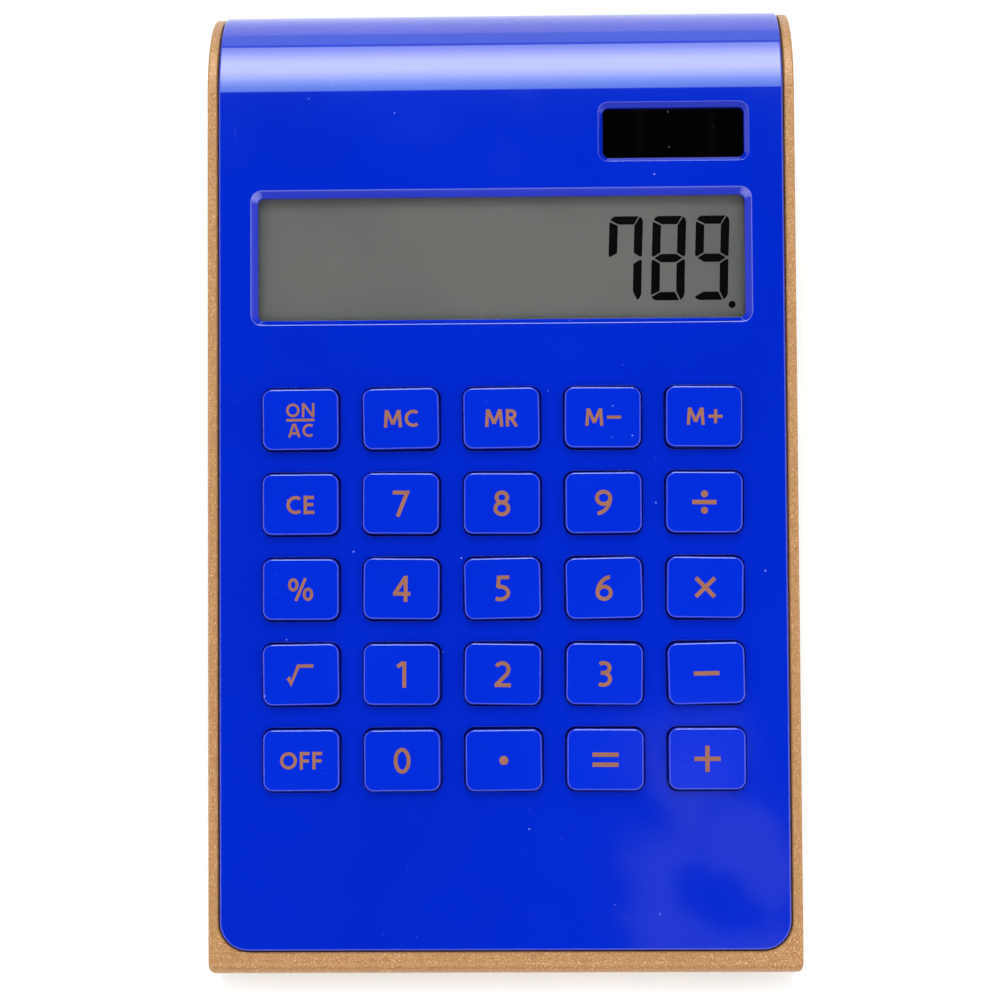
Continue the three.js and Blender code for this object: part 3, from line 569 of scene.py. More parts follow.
# ---- Key mat ----
def make_mat_sheet(look):
    """The silicone sheet under the keys, with a hole under each dome."""
    surface = Surface()
    low, high = panel_box("key_mat")
    centre, size = (low + high) / 2, high - low
    top = low.z + MAT_THICK
    edge = 0.1
    inner = DOME_RADIUS - DOME_WALL
    profile = [(edge, low.z), (0, low.z + edge), (0, top - edge), (edge, top)]
    rings = surface.loft(profile, inset_plan(size, MAT_CORNER, centre))
    holes = [surface.turned(middle(node), [(inner, low.z), (inner, top)]) for node in KEYS]
    surface.fill(rings[0], [below for below, _ in holes])
    surface.fill(rings[-1], [above for _, above in holes])
    add_piece("mat_sheet", surface, "housing", "key_mat", "silicone", look)


def make_dome(node, look):
    """A key's dome: a thin skirt round a post with a pill, drawn at rest, though the real one flattens
    as the key goes down.
    """
    surface = Surface()
    low, high = panel_box("key_mat")
    foot = low.z + MAT_THICK
    tall = high.z - foot
    place = middle(node)
    inner = DOME_RADIUS - DOME_WALL
    profile = [
        (PILL_RADIUS - 0.1, foot + tall * 0.45),
        (PILL_RADIUS, foot + tall * 0.5),
        (PILL_RADIUS, high.z - DOME_WALL),
        (DOME_TIP - DOME_WALL, high.z - DOME_WALL),
        (inner, foot),
        (DOME_RADIUS, foot),
        (DOME_RADIUS - 0.12, foot + 0.3),
        (DOME_TIP + 0.08, high.z - 0.32),
        (DOME_TIP - 0.02, high.z - 0.1),
        (DOME_TIP - 0.2, high.z),
    ]
    rings = surface.turned(place, profile)
    surface.fill(rings[0])
    surface.fill(rings[-1])
    dome = add_piece("dome_" + node[4:], surface, "housing", None, "silicone", look)
    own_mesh(dome)


# ---- Legends: each glyph is drawn with strokes in a cell one unit high ----
def oval(cx, cy, rx, ry):
    return arc(cx, cy, rx, ry, 0, 360, 32)[:-1], True


def lines(*ends):
    """Straight strokes, each given by x and y of its one end and x and y of the other."""
    return [([(x, y), (to_x, to_y)], False) for x, y, to_x, to_y in ends]


def curve(*parts):
    """An open stroke made of single points and arcs."""
    points = []
    for part in parts:
        points += part if isinstance(part, list) else [part]
    return points, False


GLYPHS = {
    "0": (0.66, [oval(0.33, 0.5, 0.25, 0.42)]),
    "1": (0.37, lines((0.29, 0, 0.29, 1), (0.02, 0.8, 0.27, 0.965))),
    "2": (0.62, [
        curve(arc(0.285, 0.685, 0.245, 0.235, 152, -18), (0.47, 0.5), (0.07, 0.1)),
        *lines((0, 0.08, 0.62, 0.08)),
    ]),
    "3": (0.58, [
        curve(arc(0.25, 0.735, 0.23, 0.185, 132, -80)),
        curve(arc(0.23, 0.31, 0.27, 0.23, 90, -125)),
        *lines((0.14, 0.545, 0.28, 0.545)),
    ]),
    "4": (0.68, lines((0.5, 0, 0.5, 1), (0.5, 0.96, 0.08, 0.31), (0.02, 0.31, 0.68, 0.31))),
    "5": (0.6, [
        curve((0.57, 0.92), (0.17, 0.92), (0.13, 0.53)),
        curve((0.1, 0.545), arc(0.2, 0.325, 0.32, 0.245, 96, -122)),
    ]),
    "6": (0.67, [
        oval(0.335, 0.315, 0.255, 0.235),
        curve(arc(0.64, 0.315, 0.56, 0.605, 97, 180)),
    ]),
    "7": (0.62, [curve((0, 0.92), (0.555, 0.92), (0.19, 0))]),
    "8": (0.66, [oval(0.33, 0.73, 0.205, 0.19), oval(0.33, 0.305, 0.25, 0.225)]),
    "9": (0.67, [
        oval(0.335, 0.685, 0.255, 0.235),
        curve(arc(0.03, 0.685, 0.56, 0.605, -83, 0)),
    ]),
    "A": (0.92, lines((0.08, 0, 0.42, 1), (0.84, 0, 0.5, 1), (0.2, 0.29, 0.72, 0.29))),
    "C": (0.78, [curve(arc(0.5, 0.5, 0.4, 0.4, 52, 308, 24))]),
    "E": (0.6, lines(
        (0.1, 0, 0.1, 1), (0.1, 0.9, 0.57, 0.9), (0.1, 0.52, 0.53, 0.52), (0.1, 0.1, 0.59, 0.1)
    )),
    "F": (0.58, lines((0.1, 0, 0.1, 1), (0.1, 0.9, 0.57, 0.9), (0.1, 0.48, 0.53, 0.48))),
    "M": (1.06, lines(
        (0.1, 0, 0.17, 1), (0.96, 0, 0.89, 1), (0.19, 0.98, 0.53, 0.18), (0.87, 0.98, 0.53, 0.18)
    )),
    "N": (0.92, lines((0.1, 0, 0.1, 1), (0.82, 0, 0.82, 1), (0.12, 0.96, 0.8, 0.04))),
    "O": (0.98, [oval(0.49, 0.5, 0.39, 0.4)]),
    "R": (0.7, [
        *lines((0.1, 0, 0.1, 1)),
        curve((0.1, 0.9), arc(0.32, 0.69, 0.21, 0.21, 90, -90), (0.1, 0.48)),
        *lines((0.3, 0.5, 0.62, 0)),
    ]),
    "percent": (1.09, [
        oval(0.22, 0.71, 0.165, 0.23),
        oval(0.87, 0.29, 0.165, 0.23),
        *lines((0.33, 0, 0.76, 1)),
    ]),
    "root": (1.31, [curve((0.02, 0.22), (0.1, 0.3), (0.19, 0.06), (0.56, 0.93), (1.31, 0.93))]),
    "minus": (1, lines((0, 0.5, 1, 0.5))),
    "plus": (1, lines((0, 0.5, 1, 0.5), (0.5, 0, 0.5, 1))),
    "multiply": (1, lines((0.05, 0.05, 0.95, 0.95), (0.05, 0.95, 0.95, 0.05))),
    "equals": (1, lines((0, 0.31, 1, 0.31), (0, 0.69, 1, 0.69))),
}

# Each legend is a list of (glyphs, height, stroke width, x and y of its middle), in millimetres. The
# last two are left out where the middle is the cap's own.
LEGENDS = {
    "on_ac": [
        (["O", "N"], 2.5, 0.43, 0, 1.65),
        (["minus"], 5, 0.48, 0, -0.1),
        (["A", "C"], 2.4, 0.43, 0, -1.95),
    ],
    "mc": [(["M", "C"], 3.08, 0.57)],
    "mr": [(["M", "R"], 3.08, 0.57)],
    "m_minus": [(["M"], 3.05, 0.55, -1.5, 0), (["minus"], 2.5, 0.55, 2, 0)],
    "m_plus": [(["M"], 3.05, 0.55, -1.5, 0), (["plus"], 2.5, 0.55, 2, 0)],
    "ce": [(["C", "E"], 3.3, 0.58, 0, -0.1)],
    "off": [(["O", "F", "F"], 3.1, 0.55)],
    "percent": [(["percent"], 4, 0.52)],
    "root": [(["root"], 3.55, 0.6, -0.1, 0)],
    "minus": [(["minus"], 4.5, 0.75)],
    "equals": [(["equals"], 4.6, 0.76)],
    "plus": [(["plus"], 4.6, 0.76)],
    "multiply": [(["multiply"], 3.7, 0.75)],
    "divide": [(["minus"], 4.25, 0.78)],
}
DIGIT_HEIGHT = 4.6
DIGIT_STROKE = 0.68
LETTER_SPACE = 0.14  # as a share of the letters' height
SHARPEST_MITRE = 0.55
POINT_DOT = 0.8
DIVIDE_DOT = 0.62
DIVIDE_RISE = 1.45
DOT_STEPS = 24


def ribbon(points, width, closed):
    """Quads along a centre line, mitred where it turns."""
    points = [Vector(p) for p in points]
    count = len(points)
    sides = []
    for i, point in enumerate(points):
        into = point - points[i - 1] if i or closed else points[1] - point
        out = points[(i + 1) % count] - point if i + 1 < count or closed else into
        into, out = into.normalized(), out.normalized()
        across = Vector((-into.y - out.y, into.x + out.x)).normalized()
        reach = width / 2 / max(across.dot(Vector((-out.y, out.x))), SHARPEST_MITRE)
        sides.append((point + across * reach, point - across * reach))
    pairs = zip(sides, sides[1:] + sides[:1]) if closed else zip(sides, sides[1:])
    return [[a[0], a[1], b[1], b[0]] for a, b in pairs]


def glyph_row(glyphs, height, stroke, x=0, y=0):
    """The stroke outlines of a row of glyphs, centred on a place."""
    space = LETTER_SPACE * height
    widths = [GLYPHS[glyph][0] * height for glyph in glyphs]
    at = x - (sum(widths) + space * (len(glyphs) - 1)) / 2
    quads = []
    for glyph, width in zip(glyphs, widths):
        for points, closed in GLYPHS[glyph][1]:
            placed = [(at + px * height, y + (py - 0.5) * height) for px, py in points]
            quads += ribbon(placed, stroke, closed)
        at += width + space
    return quads


def ink_surface(polygons, base, top):
    """A thin closed solid over the union of flat polygons."""
    vertices, faces = [], []
    for polygon in polygons:
        area = sum(a[0] * b[1] - b[0] * a[1] for a, b in zip(polygon, polygon[1:] + polygon[:1]))
        order = polygon if area > 0 else polygon[::-1]
        faces.append(list(range(len(vertices), len(vertices) + len(order))))
        vertices += [Vector(p) for p in order]
    points, _, triangles, _, _, owners = delaunay_2d_cdt(vertices, [], faces, 0, 1e-5, True)
    kept = [triangle for triangle, owner in zip(triangles, owners) if owner]
    used = sorted({i for triangle in kept for i in triangle})
    index = {old: new for new, old in enumerate(used)}
    count = len(used)
    surface = Surface()
    surface.ring([points[i] for i in used], base)
    surface.ring([points[i] for i in used], top)
    edges = set()
    for triangle in kept:
        low = [index[i] for i in triangle]
        surface.level.update((len(surface.faces), len(surface.faces) + 1))
        surface.faces += [tuple(reversed(low)), tuple(i + count for i in low)]
        edges.update(zip(low, low[1:] + low[:1]))
    for a, b in sorted(edges):
        if (b, a) not in edges:
            surface.faces.append((a, b, b + count, a + count))
    return surface


def make_legend(node, place, look):
    name = node[4:]
    rows = LEGENDS.get(name, [([name], DIGIT_HEIGHT, DIGIT_STROKE)])
    if name == "point":
        polygons = [circle(0, 0, POINT_DOT, DOT_STEPS)]
    else:
        polygons = [quad for row in rows for quad in glyph_row(*row)]
    if name == "divide":
        polygons += [circle(0, y, DIVIDE_DOT, DOT_STEPS) for y in (DIVIDE_RISE, -DIVIDE_RISE)]
    surface = ink_surface(polygons, KEY_TOP - INK, KEY_TOP + INK)
    add_piece("legend_" + name, surface, node, None, "key", look, place=place)


# ---- Display ----
# One figure's seven segments, in millimetres from its lower left corner.
FIGURE_WIDE = 6.14
FIGURE_PITCH = 7.75
FIGURE_SLANT = 0.024
FIGURE_MARGIN = (2.85, 3.4)  # from the window's right and lower edges
STOP_PLACE = (2.2, 2.55)  # the decimal point's middle, from the same edges
STOP_RADIUS = 0.64
SEGMENTS = {
    "a": [(0.29, 14.5), (0.6, 14.95), (1.15, 15.2), (5.38, 15.2), (4.51, 13.7), (1.8, 13.7)],
    "b": [
        (5.58, 15.1), (5.95, 14.8), (6.14, 14.2), (6.06, 8.1), (5.75, 7.85), (4.56, 8.6), (4.6, 13.5),
    ],
    "c": [(5.75, 7.4), (6.04, 7.15), (6.04, 1.1), (5.75, 0.45), (5.3, 0.1), (4.52, 1.7), (4.52, 6.6)],
    "d": [(0.1, 0.62), (0.4, 0.25), (0.95, 0), (5.08, 0), (4.3, 1.5), (1.65, 1.5)],
    "e": [(0.03, 7.1), (0.32, 7.35), (1.55, 6.62), (1.58, 1.72), (0.02, 0.95)],
    "f": [(0.12, 14.2), (1.64, 13.5), (1.6, 8.6), (0.35, 7.85), (0.06, 8.1)],
    "g": [(0.5, 7.6), (1.7, 8.35), (4.42, 8.35), (5.55, 7.63), (4.4, 6.85), (1.72, 6.85)],
}
FIGURES = ["abcf", "abcdefg", "abcdfg"]  # 7, 8 and 9


def make_display(look):
    centre, size = opening("lcd_lens")
    right, low = centre.x + size.x / 2, centre.y - size.y / 2
    base = panel_box("lcd_glass")[1].z
    polygons = []
    for place, segments in enumerate(reversed(FIGURES)):
        x = right - FIGURE_MARGIN[0] - FIGURE_WIDE - place * FIGURE_PITCH
        y = low + FIGURE_MARGIN[1]
        for segment in segments:
            polygons.append([(x + px + FIGURE_SLANT * py, y + py) for px, py in SEGMENTS[segment]])
    polygons.append(circle(right - STOP_PLACE[0], low + STOP_PLACE[1], STOP_RADIUS, DOT_STEPS))
    surface = ink_surface(polygons, base - INK, base + INK)
    add_piece("lcd_figures", surface, "housing", None, "lcd", look)


# ---- Underside: door, screws and feet ----
def make_door(look):
    """The battery door, with a counterbore for its screw and grooves to grip it by."""
    surface = Surface()
    low, high = panel_box("battery_door")
    size, centre = high - low, (low + high) / 2
    profile = [(0, high.z)] + [(inset, low.z + drop) for inset, drop in edge_arc(0.25)]
    rings = surface.loft(profile, inset_plan(size, DOOR_CORNER, centre))
    head, deep, chamfer = 1.9, 1, 0.15
    hole = surface.turned(middle("battery_door_screw"), [
        (head + chamfer, low.z),
        (head, low.z + chamfer),
        (head, low.z + deep),
        (SMALL_BORE, low.z + deep),
        (SMALL_BORE, high.z),
    ])
    groove_width, groove_length, groove_taper, groove_depth = 0.62, 8, 0.2, 0.4
    first, pitch, count = 1.8, 1.1, 4
    grooves = []
    for i in range(count):
        x = low.x + first + pitch * i
        cut = [
            surface.ring(rounded(groove_width - t, groove_length - t, 0.3 - t / 2, x, centre.y, 4), z)
            for t, z in ((0, low.z), (groove_taper, low.z + groove_depth))
        ]
        surface.join(*cut)
        surface.fill(cut[-1])
        grooves.append(cut[0])
    surface.fill(rings[-1], [hole[0], *grooves])
    surface.fill(rings[0], [hole[-1]])
    add_piece("door_panel", surface, "battery_door", "battery_door", "case", look)


def cross(x, y, reach, blade):
    """Outline of a cross recess."""
    points = []
    for quarter in range(4):
        turn = math.radians(90 * quarter)
        for px, py in ((reach, -blade), (reach, blade), (blade, blade)):
            points.append((
                x + px * math.cos(turn) - py * math.sin(turn),
                y + px * math.sin(turn) + py * math.cos(turn),
            ))
    return points


def make_screw(node, body, look):
    """A pan-head screw, driven from below, with a tapering cross recess and a shank ridged like a
    thread."""
    surface = Surface()
    low, high = panel_box(node)
    place = middle(node)
    head = (high.x - low.x) / 2
    shank = 0.8 if body == "battery_door" else 1
    thick = 0.6 if body == "battery_door" else SCREW_HEAD
    shoulder = low.z + thick
    profile = [
        (head - 0.35, low.z),
        (head - 0.15, low.z + 0.08),
        (head, low.z + 0.3),
        (head, shoulder),
    ]
    turns = int((high.z - low.z - thick) / THREAD_PITCH)
    for i in range(turns):
        z = shoulder + THREAD_PITCH * i
        profile += [(shank * 0.78, z + 0.02), (shank, z + THREAD_PITCH / 2)]
    profile.append((shank * 0.6, high.z))
    rings = surface.turned(place, profile, 28)
    recess = [
        surface.ring(cross(place.x, place.y, head * 0.62, head * 0.15), low.z),
        surface.ring(cross(place.x, place.y, head * 0.4, head * 0.1), low.z + thick * 0.6),
    ]
    surface.join(*recess)
    surface.fill(recess[-1])
    surface.fill(rings[0], [recess[0]])
    surface.fill(rings[-1])
    add_piece("fixing_" + node, surface, body, node, "screw", look)


def make_foot(node, look):
    """A rubber pad between the desk and the piece above it, with a shallow dish in its sole."""
    low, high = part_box(node)
    centre, radius = (low + high) / (2 * MM), (high.x - low.x) / (2 * MM)
    under = PANEL @ Vector((0, 0, UNDERSIDE)) / MM
    slope = math.tan(TILT) if centre.y < 0 else 0
    clearance = 0.02
    surface = Surface()
    # From the top, whose height is set below, down the side and across the sole to its dish.
    profile = [(0, 1), (0, 0.3), (0.12, 0.1), (0.4, 0), (0.9, 0), (1.2, 0.12)]
    rings = surface.turned(centre, [(radius - inset, z) for inset, z in profile], 40)
    for i in rings[0]:
        point = surface.points[i]
        point.z = under.z + (point.y - under.y) * slope - clearance if slope else high.z / MM
    surface.fill(rings[0])
    surface.fill(rings[-1])
    add_piece("pad_" + node, surface, "housing", node, "foot", look, place=Matrix.Scale(MM, 4))


# ---- Materials ----
def linear(red, green, blue):
    """A colour given as 0-255 display values, in the light values that shaders use."""
    channels = [c / 255 for c in (red, green, blue)]
    return tuple(c / 12.92 if c < 0.04 else ((c + 0.055) / 1.055) ** 2.4 for c in channels) + (1,)


def add_node(tree, kind, inputs=None, **settings):
    """Adds a shader node. An input is given as a value, or as the socket to link it to."""
    made = tree.nodes.new("ShaderNode" + kind)
    for name, value in settings.items():
        setattr(made, name, value)
    for key, value in (inputs or {}).items():
        feed(tree, made.inputs[key], value)
    return made


def feed(tree, socket, value):
    if isinstance(value, bpy.types.NodeSocket):
        tree.links.new(value, socket)
    else:
        socket.default_value = value


class Look:
    """A material and the few node steps that every finish here is built from."""

    def __init__(self, name, **settings):
        self.material = bpy.data.materials.new(name)
        self.material.use_nodes = True
        self.tree = self.material.node_tree
        self.shader = self.tree.nodes["Principled BSDF"]
        self.place = self.node("TexCoord").outputs["Object"]
        self.set(**settings)

    def node(self, kind, inputs=None, **settings):
        return add_node(self.tree, kind, inputs, **settings)

    def set(self, **settings):
        for name, value in settings.items():
            feed(self.tree, self.shader.inputs[name.replace("_", " ")], value)

    def noise(self, scale, detail=3, stretch=(1, 1, 1), roughness=0.5):
        mapped = self.node("Mapping", {"Vector": self.place, "Scale": stretch}).outputs[0]
        inputs = {"Vector": mapped, "Scale": scale, "Detail": detail, "Roughness": roughness}
        return self.node("TexNoise", inputs).outputs[0]

    def span(self, value, low, high, to_low, to_high):
        """Maps a value from one range to another, clamped."""
        keys = ("Value", "From Min", "From Max", "To Min", "To Max")
        return self.node("MapRange", dict(zip(keys, (value, low, high, to_low, to_high)))).outputs[0]

    def math(self, operation, a, b):
        return self.node("Math", {0: a, 1: b}, operation=operation).outputs[0]

    def blend(self, factor, a, b, mode="MIX"):
        inputs = {0: factor, 6: a, 7: b}
        return self.node("Mix", inputs, data_type="RGBA", blend_type=mode).outputs[2]

    def bump(self, height, strength, distance=0.0001):
        inputs = {"Height": height, "Strength": strength, "Distance": distance}
        self.set(Normal=self.node("Bump", inputs).outputs[0])

    def specks(self, scale, size, share):
        """1 on small round specks, in a share of the cells, and 0 between them."""
        cells = self.node("TexVoronoi", {"Vector": self.place, "Scale": scale})
        dot = self.span(cells.outputs["Distance"], size * 0.6, size, 1, 0)
        pick = self.node("SeparateColor", {0: cells.outputs["Color"]}).outputs[0]
        return self.math("MULTIPLY", dot, self.span(pick, share, share * 0.9, 0, 1))


def gloss_blue(name, colour, deep, roughness, ripple=0.03):
    """Glossy moulded plastic: even colour with a faint drift, dust, hairline scratches and gloss that
    varies where it has been handled."""
    look = Look(name, IOR=1.5, Specular_IOR_Level=1)
    drift = look.span(look.noise(28, 2), 0.3, 0.7, 0, 1)
    body = look.blend(drift, linear(*deep), linear(*colour))
    dust = look.specks(260, 0.05, 0.2)
    fine_dust = look.specks(700, 0.06, 0.1)
    dust = look.math("MULTIPLY", dust, 0.6)
    dusty = look.math("MAXIMUM", dust, look.math("MULTIPLY", fine_dust, 0.35))
    look.set(Base_Color=look.blend(dusty, body, linear(140, 155, 235)))
    smear = look.span(look.noise(60, 4), 0.5, 0.75, 0, 0.03)
    hair = look.span(look.noise(900, 2, (1, 0.03, 1)), 0.7, 0.8, 0, 0.06)
    rough = look.math("ADD", look.math("ADD", smear, hair), roughness)
    look.set(Roughness=look.math("ADD", rough, look.math("MULTIPLY", dusty, 0.4)))
    look.bump(look.noise(160, 2), ripple)
    return look.material


def gold_paint():
    """Satin metallic paint: a fine uneven flake, with a few flakes painted bright as glints."""
    look = Look("gold_paint", Metallic=0.2, IOR=1.5, Specular_IOR_Level=0.8)
    flake = look.node("TexVoronoi", {"Vector": look.place, "Scale": 8000}).outputs["Color"]
    glint = look.node("SeparateColor", {0: flake}).outputs[0]
    cloud = look.noise(140, 4)
    tone = look.blend(glint, linear(140, 90, 42), linear(200, 146, 88))
    # Painted glints: a few flakes take a bright base colour that stands in for their reflection.
    tone = look.blend(look.span(glint, 0.92, 0.97, 0, 0.9), tone, linear(244, 206, 158))
    look.set(Base_Color=look.blend(look.span(cloud, 0.35, 0.7, 0, 0.4), tone, linear(170, 120, 70)))
    look.set(Roughness=look.span(glint, 0, 1, 0.36, 0.52))
    look.bump(look.noise(5200, 2), 0.3, 0.00004)
    return look.material


def plain(name, colour, dark, roughness, metallic=0, grain=400, bump=0.15, **settings):
    """A moulded, printed or plated finish: drifting tone, grain in the gloss and a fine surface."""
    look = Look(name, Metallic=metallic, **settings)
    drift = look.span(look.noise(grain / 8, 3), 0.3, 0.7, 0, 1)
    look.set(Base_Color=look.blend(drift, linear(*dark), linear(*colour)))
    fine = look.noise(grain, 4)
    look.set(Roughness=look.span(fine, 0.3, 0.7, roughness * 0.85, min(roughness * 1.15, 1)))
    look.bump(look.noise(grain * 4, 3), bump, 0.00005)
    return look.material


def clear_window():
    """Clear acrylic: what is behind it shows, with the surface's own reflection over it."""
    look = Look("clear_acrylic")
    rough = look.span(look.noise(70, 4), 0.4, 0.8, 0.02, 0.09)
    gloss = look.node("BsdfGlossy", {"Color": (1, 1, 1, 1), "Roughness": rough})
    clear = look.node("BsdfTransparent", {"Color": (0.96, 0.965, 0.96, 1)})
    edge = look.node("Fresnel", {"IOR": 1.49}).outputs[0]
    both = look.node("MixShader", {0: edge, 1: clear.outputs[0], 2: gloss.outputs[0]})
    look.tree.nodes.remove(look.shader)
    feed(look.tree, look.tree.nodes["Material Output"].inputs["Surface"], both.outputs[0])
    return look.material


def lcd_glass():
    """The display's grey polariser over its diffuser, with a faint grain."""
    look = Look("lcd_film", IOR=1.45, Specular_IOR_Level=0.1)
    grain = look.span(look.noise(5000, 2), 0.3, 0.7, 0, 1)
    drift = look.span(look.noise(35, 2), 0.35, 0.65, 0, 1)
    base = look.blend(drift, linear(139, 136, 134), linear(149, 146, 143))
    look.set(Base_Color=look.blend(look.math("MULTIPLY", grain, 0.25), base, linear(120, 119, 118)))
    look.set(Roughness=look.span(grain, 0, 1, 0.4, 0.5))
    return look.material


def solar_black():
    """Black glossy window with the cell's strips barely showing through, and a little dust."""
    look = Look("solar_window", IOR=1.5)
    bands = {"Vector": look.place, "Scale": 25, "Distortion": 0}
    wave = look.node("TexWave", bands, bands_direction="X")
    strip = look.span(wave.outputs["Fac"], 0.0, 0.06, 1, 0)
    tint = look.span(look.noise(300, 3), 0.3, 0.7, 0, 1)
    dark = look.blend(tint, linear(1, 1, 1), linear(2, 1, 2))
    dark = look.blend(strip, dark, linear(5, 4, 4))
    look.set(Base_Color=look.blend(look.specks(500, 0.08, 0.12), dark, linear(120, 130, 140)))
    look.set(Roughness=look.span(look.noise(80, 3), 0.4, 0.7, 0.02, 0.05))
    return look.material


def circuit_board():
    """Green solder mask over faint copper tracks."""
    look = Look("solder_mask", IOR=1.5)
    brick = look.node("TexBrick", {
        "Vector": look.place,
        "Scale": 260,
        "Mortar Size": 0.035,
        "Color1": linear(24, 84, 46),
        "Color2": linear(20, 74, 42),
        "Mortar": linear(52, 120, 62),
    })
    tracks = look.span(look.noise(220, 1), 0.48, 0.52, 0, 1)
    look.set(Base_Color=look.blend(tracks, linear(22, 78, 44), brick.outputs["Color"]))
    look.set(Roughness=look.span(look.noise(900, 3), 0.3, 0.7, 0.3, 0.45))
    look.bump(brick.outputs["Fac"], 0.2, 0.00003)
    return look.material


BLUE = gloss_blue("cover_blue", (0, 37, 188), (0, 34, 180), 0.05)
KEY_COLOURS = (0, 41, 200), (0, 38, 192)
KEY_BLUE = gloss_blue("key_blue", *KEY_COLOURS, 0.08)
KEY_RIPPLED = gloss_blue("key_blue_rippled", *KEY_COLOURS, 0.08, 0.6)
GOLD = gold_paint()
INK_GOLD = plain("legend_ink", (146, 92, 70), (134, 82, 62), 0.5, 0.1, 3000, 0.2)
INK_BLACK = plain(
    "lcd_segment", (3, 3, 5), (1, 1, 2), 0.35, 0, 1500, 0.05, Specular_IOR_Level=0.05
)
STEEL = plain("screw_steel", (190, 192, 196), (150, 152, 158), 0.3, 1, 1800, 0.2)
RUBBER = plain("foot_rubber", (46, 46, 48), (34, 34, 36), 0.85, 0, 1500, 0.5)
NODE_LOOKS = {
    "lcd_lens": clear_window(),
    "lcd_glass": lcd_glass(),
    "lcd_reflector": plain("reflector_film", (196, 200, 194), (178, 182, 176), 0.4, 0.3, 2000),
    "lcd_holder": plain("holder_white", (236, 234, 226), (224, 221, 212), 0.5, 0, 700),
    "lcd_ribbon": plain("ribbon_amber", (150, 100, 44), (128, 82, 34), 0.4, 0, 900),
    "solar_window": solar_black(),
    "solar_cell": plain("cell_silicon", (40, 28, 46), (24, 18, 34), 0.2, 0, 900),
    "main_board": circuit_board(),
    "chip_cover": plain("chip_resin", (18, 18, 18), (9, 9, 9), 0.3, 0, 400, 0.4),
    "capacitor": plain("sleeve_blue", (36, 48, 108), (26, 36, 88), 0.35, 0, 500),
    "battery_cell": plain("cell_nickel", (212, 212, 204), (180, 180, 172), 0.28, 1, 1500),
}
SILICONE = plain("mat_silicone", (206, 208, 212), (190, 193, 199), 0.65, 0, 500)
CONTACT = plain("contact_nickel", (214, 208, 190), (182, 176, 158), 0.3, 1, 1800)
RED = plain("wire_red", (176, 30, 28), (150, 22, 22), 0.45, 0, 900)
BLACK = plain("wire_black", (26, 26, 26), (16, 16, 16), 0.45, 0, 900)


def finish_nodes():
    """Gives every CAD node that is still shown its material."""
    for name, node in frame["nodes"].items():
        look = NODE_LOOKS.get(name)
        if name.startswith("battery_contact"):
            look = CONTACT
        elif "wire" in name:
            look = RED if name.endswith("positive") else BLACK
        elif "screw" in name:
            look = STEEL
        if look:
            node.data.materials.clear()
            node.data.materials.append(look)


# ---- Build ----
make_cover(BLUE)
make_case(GOLD)
for key in KEYS:
    key_at = key_place(key)
    make_keycap(key, key_at, KEY_RIPPLED if key == "key_point" else KEY_BLUE)
    make_legend(key, key_at, INK_GOLD)
    make_dome(key, SILICONE)
make_mat_sheet(SILICONE)
make_display(INK_BLACK)
make_door(GOLD)
for fixing in CASE_SCREWS:
    make_screw(fixing, "housing", STEEL)
make_screw("battery_door_screw", "battery_door", STEEL)
for foot in [name for name in frame["nodes"] if name.startswith("foot_")]:
    make_foot(foot, RUBBER)
finish_nodes()


# ---- Floor, light and camera ----
# The floor is a sheet of white acrylic lit faintly from below, so that shadows on it stay pale.
FLOOR_WHITE = plain(
    "floor_white", (243, 243, 243), (240, 240, 240), 0.6,
    Emission_Color=(1, 1, 1, 1), Emission_Strength=0.12,
)


FLOOR_SIDE = 6000
FLOOR_THICK = 4


def make_floor():
    surface = Surface()
    outline = rounded(FLOOR_SIDE, FLOOR_SIDE, FLOOR_SIDE / 4)
    rings = [surface.ring(outline, z) for z in (-FLOOR_THICK, 0)]
    surface.join(*rings)
    surface.fill(rings[0])
    surface.fill(rings[1])
    floor = add_mesh("floor", surface, place=Matrix.Scale(MM, 4))
    floor.data.materials.append(FLOOR_WHITE)


# Light by angle, in degrees, as (angle, red, green): blue is taken as green. Back from straight up
# there is a dark opening over the panel, then the soft box, a thin gap and the pale wall.
REAR_LIGHT = [
    (0, 0, 0), (7.2, 0, 0), (7.5, 1.5, 2.3), (14, 2.1, 3.1), (34, 6.2, 6.5), (44, 6.2, 6.5),
    (64, 2.8, 3.1), (67.5, 2.5, 2.8), (68, 0.4, 0.55), (71, 0.4, 0.55), (71.5, 0.9, 1.2),
    (92, 0.8, 1.05), (100, 0, 0),
]
# How far to either side the soft box reaches, as the sideways part of the direction.
REAR_WIDTH = (0.17, 0.22)
# The tent all round, by the angle away from straight up.
TENT_LIGHT = [
    (0, 0.015, 0.015), (20, 0.02, 0.02), (26, 1.4, 1.4), (50, 2.3, 2.3), (56, 1.4, 1.4),
    (60, 0.3, 0.3), (75, 0.25, 0.25), (90, 0.5, 0.5),
]
# The tent's strength: everywhere, more of it to the sides, and more to the front than behind.
TENT_BASE, TENT_SIDES, TENT_FRONT = 0.6, 1.1, 0.5
# Things overhead show faintly in the right front of the panel, and not behind the object: soft
# patches of noise, shown where each part of the direction is past its first value.
PATCH_SCALE = 26
PATCH_NOISE = (0.46, 0.52)
PATCH_LIGHT = 0.035
PATCH_LIMITS = [(0.02, 0.05), (-0.16, -0.19), (0.6, 0.8)]
BRIGHTEST = 7


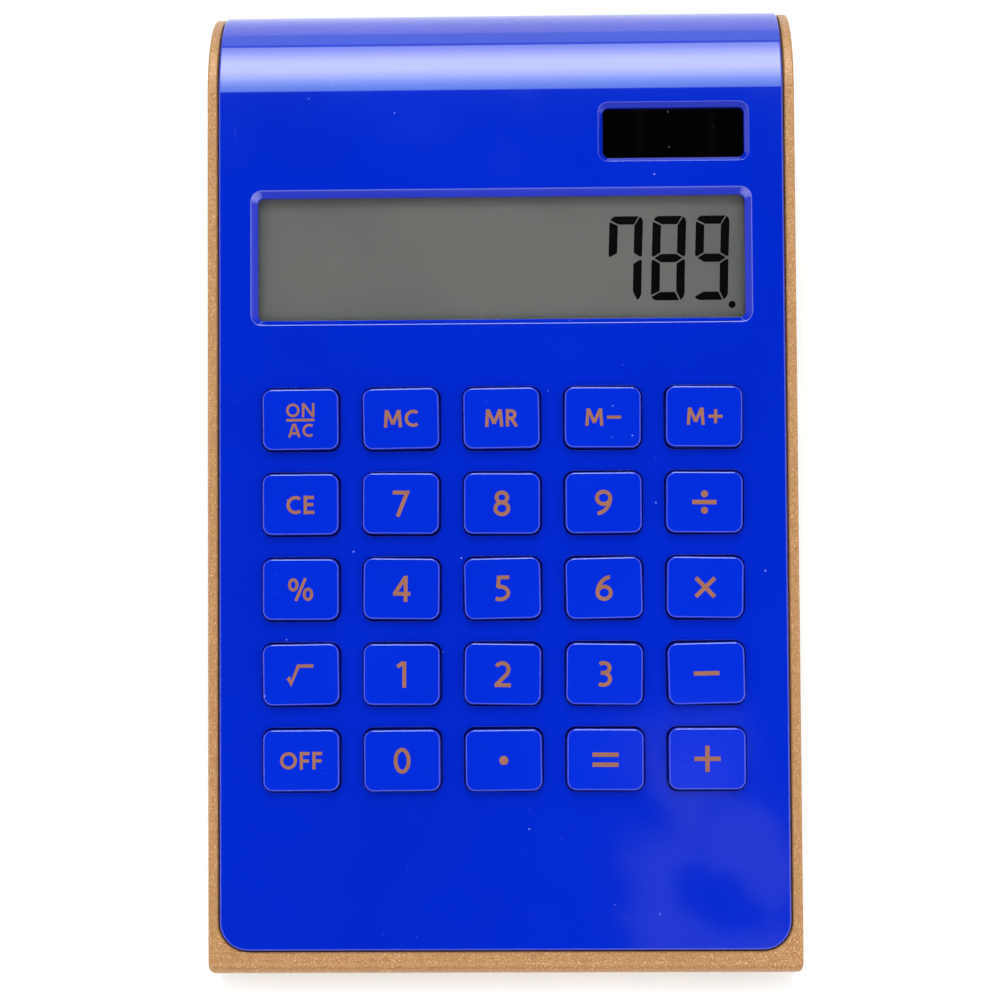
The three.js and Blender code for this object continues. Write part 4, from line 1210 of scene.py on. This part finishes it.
def make_studio():
    world = bpy.data.worlds.new("studio")
    bpy.context.scene.world = world
    world.use_nodes = True
    tree = world.node_tree

    def step(kind, *inputs, **settings):
        return add_node(tree, kind, dict(enumerate(inputs)), **settings).outputs

    def math_step(operation, *inputs):
        return step("Math", *inputs, operation=operation)[0]

    def add_light(a, b):
        return step("VectorMath", a, b, operation="ADD")[0]

    def scaled(vector, factor):
        inputs = {0: vector, "Scale": factor}
        return add_node(tree, "VectorMath", inputs, operation="SCALE").outputs[0]

    def ramp(turn, stops):
        """Light along an angle in radians, as a share of the brightest."""
        made = add_node(tree, "ValToRGB", {0: math_step("DIVIDE", turn, math.pi)})
        elements = made.color_ramp.elements
        while len(elements) < len(stops):
            elements.new(0.5)
        for element, (angle, red, green) in zip(elements, stops):
            element.position = angle / 180
            element.color = (red / BRIGHTEST, green / BRIGHTEST, green / BRIGHTEST, 1)
        return made.outputs[0]

    direction = add_node(tree, "TexCoord").outputs["Generated"]
    x, y, z = step("SeparateXYZ", direction)
    width = step("MapRange", math_step("ABSOLUTE", x), *REAR_WIDTH, 1, 0)[0]
    rear = scaled(ramp(math_step("ARCTAN2", y, z), REAR_LIGHT), width)
    strength = math_step("MULTIPLY_ADD", math_step("MULTIPLY", x, x), TENT_SIDES, TENT_BASE)
    strength = math_step("MULTIPLY_ADD", y, -TENT_FRONT, strength)
    tent = scaled(ramp(math_step("ARCCOSINE", z), TENT_LIGHT), strength)
    cloud = add_node(tree, "TexNoise", {"Vector": direction, "Scale": PATCH_SCALE}).outputs[0]
    patch = step("MapRange", cloud, *PATCH_NOISE, 0, PATCH_LIGHT)[0]
    for part, limits in zip((x, y, z), PATCH_LIMITS):
        patch = math_step("MULTIPLY", patch, step("MapRange", part, *limits, 0, 1)[0])
    patches = step("CombineXYZ", patch, patch, patch)[0]
    background = tree.nodes["Background"]
    feed(tree, background.inputs["Strength"], BRIGHTEST)
    feed(tree, background.inputs["Color"], add_light(add_light(rear, tent), patches))


CAMERA_PLACE = Vector((7.57, 69.41, 384.45))  # millimetres in the panel frame
CAMERA_TURN = Euler((0.037, 0.021, -0.006))
CAMERA_LENS = 78
CAMERA_SENSOR = 36


def make_camera():
    data = bpy.data.cameras.new("camera")
    data.lens = CAMERA_LENS
    data.sensor_width = CAMERA_SENSOR
    camera = bpy.data.objects.new("camera", data)
    bpy.context.scene.collection.objects.link(camera)
    turn = PANEL.to_3x3().normalized() @ CAMERA_TURN.to_matrix()
    camera.matrix_world = Matrix.Translation(PANEL @ CAMERA_PLACE) @ turn.to_4x4()
    data.clip_start = 0.01
    bpy.context.scene.camera = camera


make_floor()
make_studio()
make_camera()
bpy.context.scene.view_settings.view_transform = "Standard"
